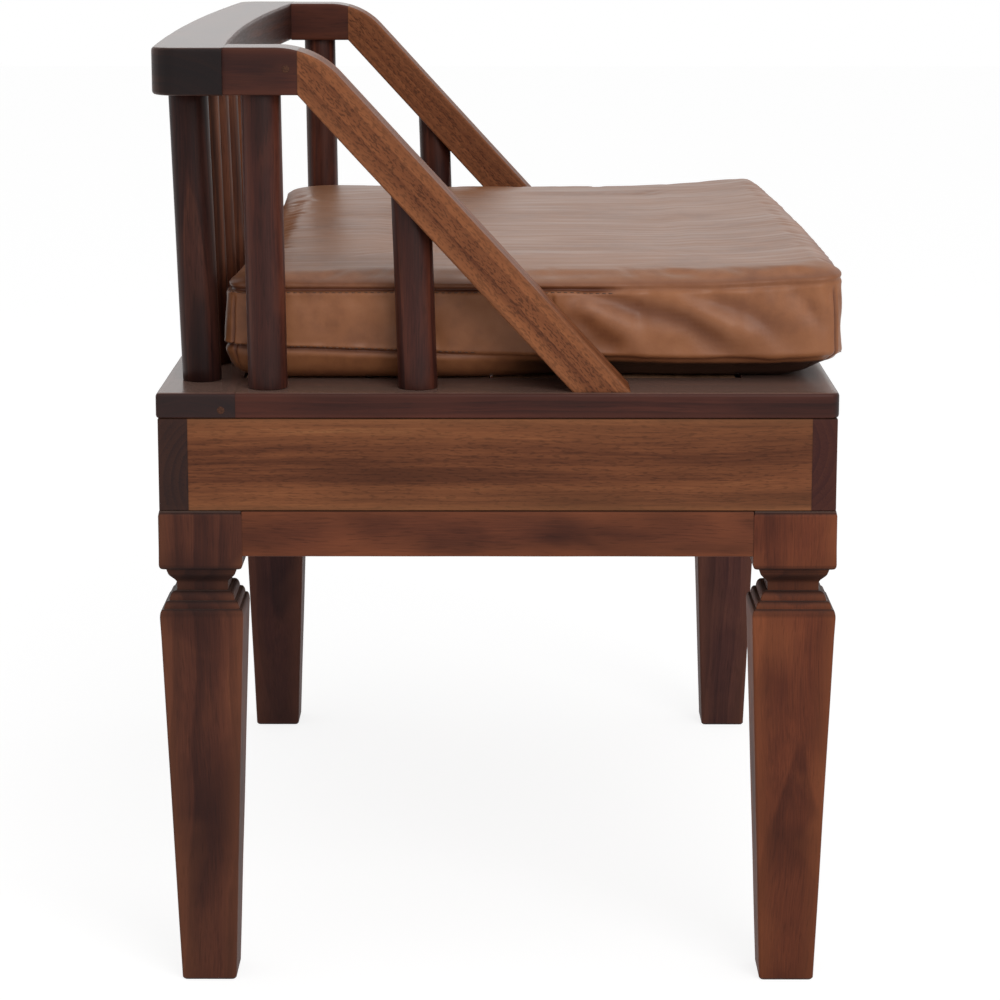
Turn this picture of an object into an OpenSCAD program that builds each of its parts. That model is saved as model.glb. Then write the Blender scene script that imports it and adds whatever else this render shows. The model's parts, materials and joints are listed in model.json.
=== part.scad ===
/* [Overall] */
// Length of the bench over its legs
bench_length = 660; // [600:5:900]
// Depth of the bench from the front of its legs to their back
bench_depth = 438; // [400:2:520]

/* [Leg frame] */
// Height of the leg frame, from the floor to the top of the aprons
leg_frame_h = 321; // [260:1:420]
// Width of a leg at its square block
leg_w = 54; // [48:1:66]
// Width of a leg at the floor
foot_w = 36; // [28:1:46]
// Height of the square block at the top of a leg
block_h = 35.5; // [34:0.5:50]
// How deep the neck is cut in from the block's faces
neck_cut = 10.4; // [5:0.2:12]
// Height of the rounded shoulder where the taper starts
shoulder_h = 5.5; // [3:0.5:8]
// Height of the lower rounded step
ovolo_h = 5; // [4:0.5:10]
// Height of the upper rounded step
torus_h = 6; // [4:0.5:10]
// Height of the straight neck
neck_h = 4.5; // [3:0.5:8]
// Height of the ogee over the neck
ogee_h = 8.5; // [4:0.5:10]
// Height of the fillet over the ogee
fillet_h = 2.5; // [2:0.5:8]
// Height of the rounded lip under the block
lip_h = 3.5; // [2:0.5:6]
// Height of an apron
apron_h = 30; // [28:1:34]
// Thickness of an apron
apron_t = 22; // [18:1:26]
// Length of an apron's tenon
tenon_l = 18; // [12:1:22]
// Thickness of an apron's tenon
tenon_t = 10; // [6:1:12]
// Height of an apron's tenon
tenon_h = 20; // [12:1:22]
// Reach of a corner brace along each apron, from the outer corner
brace_reach = 110; // [100:1:130]
// Height of a corner brace
brace_h = 24; // [16:1:26]

/* [Case] */
// Height of the closed case on the leg frame
case_h = 60.5; // [50:0.5:90]
// How far the case stands back from the aprons' faces
case_setback = 1; // [0.5:0.5:3]
// Thickness of the case's front board
case_front_t = 16; // [14:1:20]
// Thickness of the case's back board
case_back_t = 19; // [14:1:22]
// Thickness of the case's side panels
case_side_t = 16; // [14:1:20]

/* [Seat] */
// Thickness of the seat frame
seat_t = 16.5; // [15:0.5:22]
// Width of the seat frame's back rail
back_rail_w = 51; // [46:1:60]
// Width of the seat frame's side rails
side_rail_w = 60; // [52:1:70]
// Width of the seat frame's front rail
front_rail_w = 60; // [50:1:80]
// Radius of the seat frame's front corners, seen from above
seat_corner_r = 6; // [2:1:12]
// Number of seat boards
board_count = 4; // [3:1:6]
// Gap between two seat boards
board_gap = 2; // [1:0.5:6]
// Thickness of a seat board
board_t = 16; // [12:0.5:16]
// Number of cross bearers under the seat boards
bearer_count = 3; // [3:1:5]
// Width of a cross bearer
bearer_w = 40; // [30:1:50]
// Height of a cross bearer
bearer_h = 22; // [20:1:30]
// Depth of the housings that hold a bearer's ends
housing_depth = 5; // [3:0.5:8]
// How far an outer bearer reaches under the side rail
bearer_lap = 5; // [3:0.5:8]
// Gap between the ends of the seat boards and the side rails
board_end_gap = 0.5; // [0.3:0.1:2]

/* [Back and arms] */
// Clear height from the seat to the underside of the crest rail
back_h = 189.5; // [160:0.5:300]
// Thickness of the crest rail
crest_t = 30; // [26:1:36]
// Width of the crest rail at its ends, from front to back
crest_w = 45; // [42:1:52]
// How far the crest rail's ends stand in from the bench's back
crest_setback = 1; // [0:0.5:6]
// How far the crest rail bows backward at its middle
crest_bow = 8; // [2:0.5:14]
// Radius of the crest rail's back corners, seen from above
crest_corner_r = 18; // [4:1:20]
// Thickness of an arm, along the bench
arm_w = 39; // [36:1:44]
// How far an arm's outer face stands in from the bench's end
arm_inset = 4; // [2:0.5:8]
// Length of the flat part of an arm
arm_flat_l = 47; // [44:1:60]
// Run of the arm's slope, from its flat part to its foot
arm_run = 174; // [150:1:200]
// Thickness of the sloping arm, square to its slope
arm_bar_t = 27.5; // [24:0.5:32]
// Radius of the arm's knee
knee_r = 55; // [30:1:70]

/* [Spindles] */
// Diameter of a spindle
spindle_d = 25.5; // [20:0.5:27]
// Number of spindles in the back
back_count = 9; // [7:1:9]
// Distance from the bench's end to the axis of the first back spindle
back_end_in = 54; // [48:1:66]
// Distance from the bench's back to the foot of a back spindle
back_foot_in = 25; // [24:0.5:27]
// How far a back spindle leans back over its height
back_lean = 6; // [2:0.5:7]
// How far the rear side spindle leans back over its height
side_lean = 2; // [0:0.5:4]
// Distance from the arm's slope to the foot of the front side spindle
side_front_in = 74.5; // [60:0.5:90]
// Diameter of a spindle's tenon
spindle_tenon_d = 16; // [10:0.5:18]
// Depth of a spindle's lower tenon
lower_tenon = 12; // [8:0.5:13]
// Depth of a spindle's upper tenon
upper_tenon = 14; // [10:0.5:15]

/* [Cushion] */
// Height of the cushion at its upper seam
cushion_h = 60; // [50:1:90]
// Crown of the cushion over its upper seam
cushion_crown = 12; // [4:1:20]
// How far the cushion hangs over the seat's front
cushion_overhang = 7; // [0:0.5:12]
// Clearance between the cushion and the arms
cushion_side_gap = 0.8; // [0.5:0.1:6]
// Clearance between the cushion and the feet of the back spindles
cushion_back_gap = 1.8; // [1:0.1:8]
// How far the cushion's front corners lift
corner_lift = 7; // [0:0.5:12]
// Swell of the cushion in front of the arms
cushion_swell = 4; // [0:0.5:6]
// How far the cushion's front and back are drawn in between its corners
draw_in = 5; // [0:0.5:8]
// Radius of the cushion's corners, seen from above
cushion_corner_r = 16; // [8:1:30]
// Thickness of the cushion's cover with its lining
cover_t = 2.5; // [1.5:0.5:4]
// Clearance round the foam inside the cover, and under the cushion
soft_gap = 0.3; // [0.2:0.1:1]

/* [Fixings] */
// Diameter of the large dowels
dowel_d = 8; // [6:0.5:9]
// Length of the large dowels
dowel_l = 30; // [20:1:36]
// Distance from the bench's end to the first large dowel
dowel_end_in = 105; // [90:1:130]
// Diameter of the small dowels
small_dowel_d = 6; // [5:0.5:7]
// Length of the small dowels
small_dowel_l = 28; // [20:1:28]
// Distance from a side panel's edge to its dowel
corner_dowel_in = 15; // [10:1:22]
// Depth of a side panel's dowel in the front and back boards
corner_dowel_bite = 10; // [6:1:12]
// Distance from the seat's outer edge to the outer dowel of its side rail
outer_dowel_in = 8; // [5:0.5:9]
// Distance from the seat's opening to the inner dowel of its side rail
inner_dowel_in = 14; // [10:1:18]
// Length of the dowels between the crest rail and the arms
crest_dowel_l = 36; // [28:1:40]
// Distance from the crest's top to its dowels
crest_dowel_down = 8.5; // [6:0.5:9]
// Distance from the arm's underside to its own dowels
arm_dowel_up = 9.5; // [7:0.5:10]
// Distance of an arm's dowels from its middle
arm_dowel_out = 10; // [8:0.5:12]
// Diameter of a wood screw's shank
screw_d = 4; // [3:0.5:5]
// Diameter of a wood screw's head
screw_head_d = 8; // [6:0.5:9]
// How deep a wood screw goes into the second piece
screw_bite = 14; // [8:1:14]
// How deep a frame screw goes into the seat's rail
rail_screw_bite = 11; // [6:1:13]
// Least wood between a frame screw and a spindle's tenon
screw_clear = 6; // [3:0.5:8]
// Distance from the end of a seat board to its outer screws
board_screw_in = 12; // [10:0.5:14]
// Diameter of a leg bolt
bolt_d = 6; // [5:0.5:8]
// Length of a leg bolt under its head
bolt_l = 48; // [40:1:52]
// Width of a leg bolt's head, across its flats
bolt_head_w = 10; // [8:1:13]
// Height of a leg bolt's head
bolt_head_h = 4; // [3:0.5:5.5]
// Diameter of a leg bolt's washer
washer_d = 16; // [14:1:20]
// Thickness of a leg bolt's washer
washer_t = 1.5; // [1:0.1:2]
// Diameter of the plugs over the arm's and the seat's nails
plug_d = 5; // [3:0.5:6]
// Depth of the plugs
plug_l = 4; // [2:0.5:4]
// Clearance all round a dowel, tenon or screw in its hole
fit = 0.1; // [0.05:0.05:0.3]

/* [Hidden] */
$fn = 48;
half_l = bench_length / 2;
half_d = bench_depth / 2;
sides = [-1, 1];
corners = [[-1, -1], [1, -1], [-1, 1], [1, 1]];

// Heights of the modules, one on the other
case_z = leg_frame_h;
seat_z = case_z + case_h;
seat_top = seat_z + seat_t;
crest_z = seat_top + back_h;
crest_top = crest_z + crest_t;

// Leg moulding, from the taper up to the block
moulding_h = shoulder_h + ovolo_h + torus_h + neck_h + ogee_h + fillet_h + lip_h;
taper_h = leg_frame_h - block_h - moulding_h;
apron_z = leg_frame_h - apron_h;
brace_z = apron_z + (apron_h - brace_h) / 2;

// Case faces
case_x = half_l - case_setback;
case_y = half_d - case_setback;
case_front_in = case_y - case_front_t;
case_back_in = case_y - case_back_t;

// Seat opening and bearers
open_x = half_l - side_rail_w;
open_front = -half_d + front_rail_w;
open_back = half_d - back_rail_w;
board_w = (open_back - open_front - board_gap * (board_count + 1)) / board_count;
bearer_out = open_x - bearer_w / 2 + bearer_lap;
bearer_step = 2 * bearer_out / (bearer_count - 1);

// Crest and arms
crest_back = half_d - crest_setback;
crest_front = crest_back - crest_w;
arm_out = half_l - arm_inset;
arm_in = arm_out - arm_w;
arm_mid = (arm_out + arm_in) / 2;
seam_y = crest_front - arm_flat_l;
arm_foot_y = seam_y - arm_run;
arm_angle = atan2(back_h, arm_run);
arm_foot_l = arm_bar_t / sin(arm_angle);
knee_y = seam_y + (crest_t - arm_bar_t / cos(arm_angle)) / tan(arm_angle);
knee_cut = knee_r * tan(arm_angle / 2);
arm_top_foot = arm_foot_y - arm_foot_l;

// Spindle axes: the back row is spread evenly between its end spindles
back_pitch = (bench_length - 2 * back_end_in) / (back_count - 1);
back_foot_y = half_d - back_foot_in;
back_slope = back_lean / back_h;
side_slope = side_lean / back_h;
rear_foot_y = seam_y + arm_flat_l / 2 - side_lean / 2;
front_foot_y = seam_y - side_front_in;

// Dowel, screw and plug lines
dowel_x = [for (i = [0:3]) -half_l + dowel_end_in + i * (bench_length - 2 * dowel_end_in) / 3];
dowel_side_y = [-bench_depth / 5, bench_depth / 5];
corner_dowel_z = [case_z + corner_dowel_in, case_z + case_h - corner_dowel_in];
corner_dowel_shift = small_dowel_l / 2 - corner_dowel_bite;
rail_dowel_z = seat_z + seat_t / 2;
crest_dowel_z = crest_top - crest_dowel_down;
arm_dowel_z = crest_z + arm_dowel_up;
front_screw_y = -half_d + front_rail_w / 2;
back_screw_y = back_foot_y - spindle_tenon_d / 2 - screw_d / 2 - screw_clear;
arm_screw_x = arm_in + arm_w / 3;
arm_screw_y = arm_foot_y - arm_foot_l / 3;
plug_arm_y = seam_y + 0.15 * arm_flat_l;
plug_arm_z = crest_z + 0.55 * crest_t;
plug_seat_y = open_back + 0.18 * back_rail_w;
plug_seat_z = seat_z + seat_t / 3;

// Points of a rounded step that starts upright and ends level
function step_out(p, q, n = 5) = [for (i = [0:n]) let (a = 90 * i / n)
    [p[0] + (q[0] - p[0]) * (1 - cos(a)), p[1] + (q[1] - p[1]) * sin(a)]];

// Points of a rounded step that starts level and ends upright
function step_up(p, q, n = 4) = [for (i = [0:n]) let (a = 90 * i / n)
    [p[0] + (q[0] - p[0]) * sin(a), p[1] + (q[1] - p[1]) * (1 - cos(a))]];

// Points of an S-shaped step that starts and ends upright
function ogee(p, q, n = 8) = [for (i = [0:n])
    [p[0] + (q[0] - p[0]) * (1 - cos(180 * i / n)) / 2, p[1] + (q[1] - p[1]) * i / n]];

// Points of an arc round a centre
function arc(c, r, a0, a1, n) = [for (i = [0:n]) let (a = a0 + (a1 - a0) * i / n)
    [c[0] + r * cos(a), c[1] + r * sin(a)]];

function mirrored(points) = [for (i = [len(points) - 1:-1:0]) [-points[i][0], points[i][1]]];

// Right half of a leg's outline: taper, shoulder, two rounded steps, neck, ogee, fillet and lip
function leg_side() = let (
    w = leg_w / 2,
    c = neck_cut,
    z1 = taper_h,
    z2 = z1 + shoulder_h,
    z3 = z2 + ovolo_h,
    z4 = z3 + torus_h,
    z5 = z4 + neck_h,
    z6 = z5 + ogee_h,
    z7 = z6 + fillet_h,
    z8 = z7 + lip_h
) concat(
    [[foot_w / 2, 0]],
    step_out([w, z1], [w - 0.17 * c, z2]),
    step_out([w - 0.25 * c, z2], [w - 0.49 * c, z3]),
    step_out([w - 0.56 * c, z3], [w - 0.92 * c, z4]),
    [[w - c, z4]],
    ogee([w - c, z5], [w - 0.48 * c, z6]),
    [[w - 0.46 * c, z6], [w - 0.43 * c, z7 - 1], [w - 0.36 * c, z7], [w - 0.22 * c, z7]],
    step_up([w - 0.2 * c, z7 + 0.2], [w, z8]),
    [[w, leg_frame_h]]
);

// Moves a shape drawn at the front left corner, x and y pointing inward, to a corner
module at_corner(c) {
    translate([c[0] * half_l, c[1] * half_d, 0])
    mirror([c[0] > 0 ? 1 : 0, 0, 0])
    mirror([0, c[1] > 0 ? 1 : 0, 0])
    children();
}

// Puts a shape drawn at the left end at the right end as well
module on_side(s) {
    mirror([s > 0 ? 1 : 0, 0, 0])
    children();
}

module box(x, y, z) {
    translate([x[0], y[0], z[0]])
    cube([x[1] - x[0], y[1] - y[0], z[1] - z[0]]);
}

// Cylinder of a dowel along Y, middle at the given point
module rod_y(p, d, l) {
    translate([p[0], p[1] - l / 2, p[2]])
    rotate([-90, 0, 0])
    cylinder(d = d, h = l);
}

module rod_x(p, d, l) {
    translate([p[0] - l / 2, p[1], p[2]])
    rotate([0, 90, 0])
    cylinder(d = d, h = l);
}

module rod_z(p, d, l) {
    translate([p[0], p[1], p[2] - l / 2])
    cylinder(d = d, h = l);
}

// Countersunk wood screw, its head's top at the origin, pointing down
module screw(l, grow = 0) {
    head_h = (screw_head_d - screw_d) / 2;
    translate([0, 0, -l - grow])
    cylinder(d = screw_d + 2 * grow, h = l + grow);
    translate([0, 0, -head_h - grow])
    cylinder(d1 = screw_d + 2 * grow, d2 = screw_head_d + 2 * grow, h = head_h + grow);
}

// Leg with its mouldings: the same outline cut from two sides, so the steps mitre at the corners
module leg_blank() {
    intersection() {
        rotate([90, 0, 0])
        translate([0, 0, -leg_w])
        linear_extrude(2 * leg_w)
        polygon(concat(leg_side(), mirrored(leg_side())));
        rotate([90, 0, 90])
        translate([0, 0, -leg_w])
        linear_extrude(2 * leg_w)
        polygon(concat(leg_side(), mirrored(leg_side())));
    }
}

bolt_from = brace_reach / 2 + apron_t / 2 - bolt_l / sqrt(2);
module bolt_hole() {
    translate([bolt_from - fit, bolt_from - fit, apron_z + apron_h / 2])
    rotate([0, 90, 45])
    cylinder(d = bolt_d + 2 * fit, h = 1.5 * bolt_l);
}

module leg(c) {
    color("#5a3226")
    at_corner(c)
    difference() {
        translate([leg_w / 2, leg_w / 2, 0])
        leg_blank();
        mortise_z = apron_z + (apron_h - tenon_h) / 2 - fit;
        mortise_y = (apron_t - tenon_t) / 2 - fit;
        translate([leg_w - tenon_l - fit, mortise_y, mortise_z])
        cube([2 * tenon_l, tenon_t + 2 * fit, tenon_h + 2 * fit]);
        translate([mortise_y, leg_w - tenon_l - fit, mortise_z])
        cube([tenon_t + 2 * fit, 2 * tenon_l, tenon_h + 2 * fit]);
        bolt_hole();
    }
}

// Apron along X with a tenon at each end and sockets for the case's dowels
module apron_long(s) {
    y0 = s > 0 ? half_d - apron_t : -half_d;
    difference() {
        union() {
            box([-half_l + leg_w, half_l - leg_w], [y0, y0 + apron_t], [apron_z, leg_frame_h]);
            translate([-half_l + leg_w - tenon_l, y0 + (apron_t - tenon_t) / 2, apron_z + (apron_h - tenon_h) / 2])
            cube([bench_length - 2 * leg_w + 2 * tenon_l, tenon_t, tenon_h]);
        }
        case_dowel_set(fit);
    }
}

module apron_short(s) {
    x0 = s > 0 ? half_l - apron_t : -half_l;
    difference() {
        union() {
            box([x0, x0 + apron_t], [-half_d + leg_w, half_d - leg_w], [apron_z, leg_frame_h]);
            translate([x0 + (apron_t - tenon_t) / 2, -half_d + leg_w - tenon_l, apron_z + (apron_h - tenon_h) / 2])
            cube([tenon_t, bench_depth - 2 * leg_w + 2 * tenon_l, tenon_h]);
        }
        case_dowel_set(fit);
    }
}

module apron_front() { color("#6b3a28") apron_long(-1); }
module apron_back() { color("#6b3a28") apron_long(1); }
module apron_left() { color("#6b3a28") apron_short(-1); }
module apron_right() { color("#6b3a28") apron_short(1); }

// Glue blocks that wrap the inner corner of each leg
module corner_braces() {
    color("#7a4a30")
    for (c = corners)
        at_corner(c)
        difference() {
            translate([0, 0, brace_z])
            linear_extrude(brace_h)
            polygon([
                [apron_t, leg_w], [apron_t, brace_reach], [brace_reach, apron_t],
                [leg_w, apron_t], [leg_w, leg_w]
            ]);
            bolt_hole();
        }
}

// Hexagon bolts with washers, through the braces into the legs
module leg_bolts() {
    color("#8d8f92")
    for (c = corners)
        at_corner(c)
        translate([bolt_from, bolt_from, apron_z + apron_h / 2])
        rotate([0, 90, 45])
        union() {
            cylinder(d = bolt_d, h = bolt_l);
            translate([0, 0, bolt_l])
            cylinder(d = washer_d, h = washer_t);
            translate([0, 0, bolt_l + washer_t])
            cylinder(d = bolt_head_w / cos(30), h = bolt_head_h, $fn = 6);
        }
}

// Upright dowels between the aprons and the case
module case_dowel_set(grow) {
    for (x = dowel_x) {
        rod_z([x, -case_y + case_front_t / 2, case_z], dowel_d + 2 * grow, dowel_l + 2 * grow);
        rod_z([x, case_y - case_back_t / 2, case_z], dowel_d + 2 * grow, dowel_l + 2 * grow);
    }
    for (s = sides, y = dowel_side_y)
        rod_z([s * (case_x - case_side_t / 2), y, case_z], dowel_d + 2 * grow, dowel_l + 2 * grow);
}

module case_corner_dowel_set(grow) {
    for (s = sides, z = corner_dowel_z) {
        rod_y([s * (case_x - case_side_t / 2), -case_front_in + corner_dowel_shift, z], small_dowel_d + 2 * grow, small_dowel_l + 2 * grow);
        rod_y([s * (case_x - case_side_t / 2), case_back_in - corner_dowel_shift, z], small_dowel_d + 2 * grow, small_dowel_l + 2 * grow);
    }
}

module case_dowels() { color("#c49a6c") case_dowel_set(0); }
module case_corner_dowels() { color("#c49a6c") case_corner_dowel_set(0); }

// Cross bearers under the seat, their ends housed in the case's long boards
module bearer_set(grow) {
    for (i = [0:bearer_count - 1]) {
        x = -bearer_out + i * bearer_step;
        box([x - bearer_w / 2 - grow, x + bearer_w / 2 + grow],
            [-case_front_in - housing_depth - grow, case_back_in + housing_depth + grow],
            [seat_z - bearer_h - grow, seat_z + (grow > 0 ? housing_depth : 0)]);
    }
}

module case_front() {
    color("#6f4029")
    difference() {
        box([-case_x, case_x], [-case_y, -case_front_in], [case_z, seat_z]);
        bearer_set(fit);
        case_dowel_set(fit);
        case_corner_dowel_set(fit);
    }
}

module case_back() {
    color("#6f4029")
    difference() {
        box([-case_x, case_x], [case_back_in, case_y], [case_z, seat_z]);
        bearer_set(fit);
        case_dowel_set(fit);
        case_corner_dowel_set(fit);
    }
}

module case_side(s) {
    x0 = s > 0 ? case_x - case_side_t : -case_x;
    color("#8a5535")
    difference() {
        box([x0, x0 + case_side_t], [-case_front_in, case_back_in], [case_z, seat_z]);
        case_dowel_set(fit);
        case_corner_dowel_set(fit);
    }
}

module case_left() { case_side(-1); }
module case_right() { case_side(1); }

// Dowels that hold the seat frame's four rails together
module seat_dowel_set(grow) {
    for (s = sides) {
        for (x = [half_l - outer_dowel_in, open_x + inner_dowel_in])
            rod_y([s * x, open_back, rail_dowel_z], small_dowel_d + 2 * grow, small_dowel_l + 2 * grow);
        for (y = [-half_d + front_rail_w / 4, open_front - front_rail_w / 4])
            rod_x([s * open_x, y, rail_dowel_z], small_dowel_d + 2 * grow, small_dowel_l + 2 * grow);
    }
}

module seat_frame_dowels() { color("#c49a6c") seat_dowel_set(0); }

// Screws that come up from the bearers into the front and back rails
module rail_screw_set(grow) {
    for (i = [0:bearer_count - 1], y = [front_screw_y, back_screw_y])
        translate([-bearer_out + i * bearer_step, y, seat_z - bearer_h])
        rotate([180, 0, 0])
        screw(bearer_h + rail_screw_bite, grow);
}

module seat_rail_screws() { color("#9a9c9e") rail_screw_set(0); }

module board_screw_set(grow) {
    for (i = [0:bearer_count - 1], j = [0:board_count - 1])
        translate([board_screw_x(i), board_y(j) + board_w / 2, seat_z + board_t])
        screw(board_t + screw_bite, grow);
}

function board_y(j) = open_front + board_gap + j * (board_w + board_gap);
function board_screw_x(i) = min(max(-bearer_out + i * bearer_step, -open_x + board_screw_in), open_x - board_screw_in);

module seat_board_screws() { color("#9a9c9e") board_screw_set(0); }

module seat_bearers() {
    color("#7a4a30")
    difference() {
        bearer_set(0);
        rail_screw_set(fit);
        board_screw_set(fit);
    }
}

module seat_boards() {
    color("#7a4a30")
    difference() {
        for (j = [0:board_count - 1])
            box([-open_x + board_end_gap, open_x - board_end_gap], [board_y(j), board_y(j) + board_w], [seat_z, seat_z + board_t]);
        board_screw_set(fit);
    }
}

// Axis of a spindle that leans back, with its tenons, cut level with the seat
module leaning(x, y, slope) {
    translate([x, y, seat_top])
    rotate([-atan(slope), 0, 0])
    children();
}

module back_spindle_tenons(x, grow) {
    l = back_h / cos(atan(back_slope));
    leaning(x, back_foot_y, back_slope)
    translate([0, 0, -lower_tenon - grow])
    cylinder(d = spindle_tenon_d + 2 * grow, h = l + lower_tenon + upper_tenon + 2 * grow);
}

module back_spindle(i) {
    x = (i - (back_count + 1) / 2) * back_pitch;
    color("#3a2220")
    union() {
        intersection() {
            leaning(x, back_foot_y, back_slope)
            translate([0, 0, -spindle_d])
            cylinder(d = spindle_d, h = back_h + 2 * spindle_d);
            box([x - spindle_d, x + spindle_d], [back_foot_y - 2 * spindle_d, back_foot_y + 2 * spindle_d], [seat_top, crest_z]);
        }
        back_spindle_tenons(x, 0);
    }
}

function back_x() = [for (i = [1:back_count]) (i - (back_count + 1) / 2) * back_pitch];

module rear_spindle_tenons(grow) {
    l = back_h / cos(atan(side_slope));
    leaning(-arm_mid, rear_foot_y, side_slope)
    translate([0, 0, -lower_tenon - grow])
    cylinder(d = spindle_tenon_d + 2 * grow, h = l + lower_tenon + upper_tenon + 2 * grow);
}

module rear_spindle(s) {
    color("#3a2220")
    on_side(s)
    union() {
        intersection() {
            leaning(-arm_mid, rear_foot_y, side_slope)
            translate([0, 0, -spindle_d])
            cylinder(d = spindle_d, h = back_h + 2 * spindle_d);
            box([-arm_out, -arm_in], [rear_foot_y - 2 * spindle_d, rear_foot_y + 2 * spindle_d], [seat_top, crest_z]);
        }
        rear_spindle_tenons(0);
    }
}

// Height of the arm's underside over the foot of the front side spindle
front_h = (front_foot_y - arm_foot_y) * tan(arm_angle) / (1 - back_slope * tan(arm_angle));

// Everything under the arm's lower face
module under_arm() {
    translate([-arm_mid, arm_foot_y, seat_top])
    rotate([arm_angle, 0, 0])
    box([-arm_w, arm_w], [-bench_depth, bench_depth], [-back_h, 0]);
}

module front_spindle_tenons(grow) {
    leaning(-arm_mid, front_foot_y, back_slope)
    translate([0, 0, -lower_tenon - grow])
    cylinder(d = spindle_tenon_d + 2 * grow, h = front_h + lower_tenon + upper_tenon + 2 * grow);
}

module front_spindle(s) {
    color("#3a2220")
    on_side(s)
    union() {
        intersection() {
            leaning(-arm_mid, front_foot_y, back_slope)
            translate([0, 0, -spindle_d])
            cylinder(d = spindle_d, h = front_h + 3 * spindle_d);
            box([-arm_out, -arm_in], [front_foot_y - 2 * spindle_d, front_foot_y + 2 * spindle_d], [seat_top, crest_z]);
            under_arm();
        }
        front_spindle_tenons(0);
    }
}

module side_spindle_rear_left() { rear_spindle(-1); }
module side_spindle_rear_right() { rear_spindle(1); }
module side_spindle_front_left() { front_spindle(-1); }
module side_spindle_front_right() { front_spindle(1); }

// Seat frame
module seat_rail_back() {
    color("#4a2a28")
    difference() {
        box([-half_l, half_l], [open_back, half_d], [seat_z, seat_top]);
        for (x = back_x())
            back_spindle_tenons(x, fit);
        seat_dowel_set(fit);
        rail_screw_set(fit);
        plug_set(fit);
    }
}

module seat_rail_front() {
    color("#4a2a28")
    difference() {
        box([-open_x, open_x], [-half_d, open_front], [seat_z, seat_top]);
        seat_dowel_set(fit);
        rail_screw_set(fit);
    }
}

module seat_side_rail(s) {
    r = seat_corner_r;
    color("#4a2a28")
    on_side(s)
    difference() {
        translate([0, 0, seat_z])
        linear_extrude(seat_t)
        polygon(concat(
            [[-open_x, -half_d], [-open_x, open_back], [-half_l, open_back]],
            arc([-half_l + r, -half_d + r], r, 180, 270, 6)
        ));
        seat_dowel_set(fit);
        rear_spindle_tenons(fit);
        front_spindle_tenons(fit);
        arm_screw_one(fit);
    }
}

module seat_rail_left() { seat_side_rail(-1); }
module seat_rail_right() { seat_side_rail(1); }

// Crest rail: bowed backward, straight in front where the arms meet it, round at the back corners
function crest_back_y(x) = crest_back + crest_bow * (1 - pow(x / half_l, 2));
function crest_front_y(x) = crest_front + crest_bow * max(0, 1 - pow(x / arm_in, 2));

module crest_rail() {
    r = crest_corner_r;
    n = 24;
    flat = half_l - r;
    color("#2a1c1c")
    difference() {
        translate([0, 0, crest_z])
        linear_extrude(crest_t)
        polygon(concat(
            [[-half_l, crest_front]],
            [for (i = [0:n]) let (x = -arm_in + 2 * arm_in * i / n) [x, crest_front_y(x)]],
            [[half_l, crest_front]],
            arc([flat, crest_back_y(flat) - r], r, 0, 84, 8),
            [for (i = [0:n]) let (x = flat - 2 * flat * i / n) [x, crest_back_y(x)]],
            arc([-flat, crest_back_y(flat) - r], r, 96, 180, 8)
        ));
        for (x = back_x())
            back_spindle_tenons(x, fit);
        crest_dowel_set(fit);
    }
}

module crest_dowel_set(grow) {
    for (s = sides, x = [arm_mid - arm_dowel_out, arm_mid + arm_dowel_out])
        rod_y([s * x, crest_front, crest_dowel_z], small_dowel_d + 2 * grow, crest_dowel_l + 2 * grow);
}

module arm_dowel_set(grow) {
    for (s = sides, x = [arm_mid - arm_dowel_out, arm_mid + arm_dowel_out])
        rod_y([s * x, seam_y, arm_dowel_z], small_dowel_d + 2 * grow, small_dowel_l + 2 * grow);
}

module crest_dowels() { color("#c49a6c") crest_dowel_set(0); }
module arm_dowels() { color("#c49a6c") arm_dowel_set(0); }

// Screws from under the seat frame into the arms' feet
module arm_screw_one(grow) {
    translate([-arm_screw_x, arm_screw_y, seat_z])
    rotate([180, 0, 0])
    screw(seat_t + screw_bite, grow);
}

module arm_screws() {
    color("#9a9c9e")
    for (s = sides)
        on_side(s)
        arm_screw_one(0);
}

// Plugs over the nails at the arm's joint and at the seat frame's joint
module plug_set(grow) {
    for (s = sides) {
        rod_x([s * (arm_out - plug_l / 2), plug_arm_y, plug_arm_z], plug_d + 2 * grow, plug_l + 2 * grow);
        rod_x([s * (half_l - plug_l / 2), plug_seat_y, plug_seat_z], plug_d + 2 * grow, plug_l + 2 * grow);
    }
}

module joint_plugs() { color("#20140f") plug_set(0); }

// Whole arm seen from the end: its flat part, the knee that runs over the joint, and the slope, cut level at its foot
module arm_blank() {
    translate([-arm_out, 0, 0])
    rotate([90, 0, 90])
    linear_extrude(arm_w)
    polygon(concat(
        [[crest_front, crest_top], [crest_front, crest_z], [seam_y, crest_z], [arm_foot_y, seat_top], [arm_top_foot, seat_top]],
        arc([knee_y + knee_cut, crest_top - knee_r], knee_r, 90 + arm_angle, 90, 12)
    ));
}

module arm_block(s) {
    color("#3a2220")
    on_side(s)
    difference() {
        intersection() {
            arm_blank();
            box([-half_l, 0], [seam_y, half_d], [0, crest_top + crest_t]);
        }
        rear_spindle_tenons(fit);
        crest_dowel_set(fit);
        arm_dowel_set(fit);
        plug_set(fit);
    }
}

module arm_block_left() { arm_block(-1); }
module arm_block_right() { arm_block(1); }

module arm_slope(s) {
    color("#85502f")
    on_side(s)
    difference() {
        intersection() {
            arm_blank();
            box([-half_l, 0], [-bench_depth, seam_y], [0, crest_top + crest_t]);
        }
        front_spindle_tenons(fit);
        arm_dowel_set(fit);
        arm_screw_one(fit);
    }
}

module arm_slope_left() { arm_slope(-1); }
module arm_slope_right() { arm_slope(1); }

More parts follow.
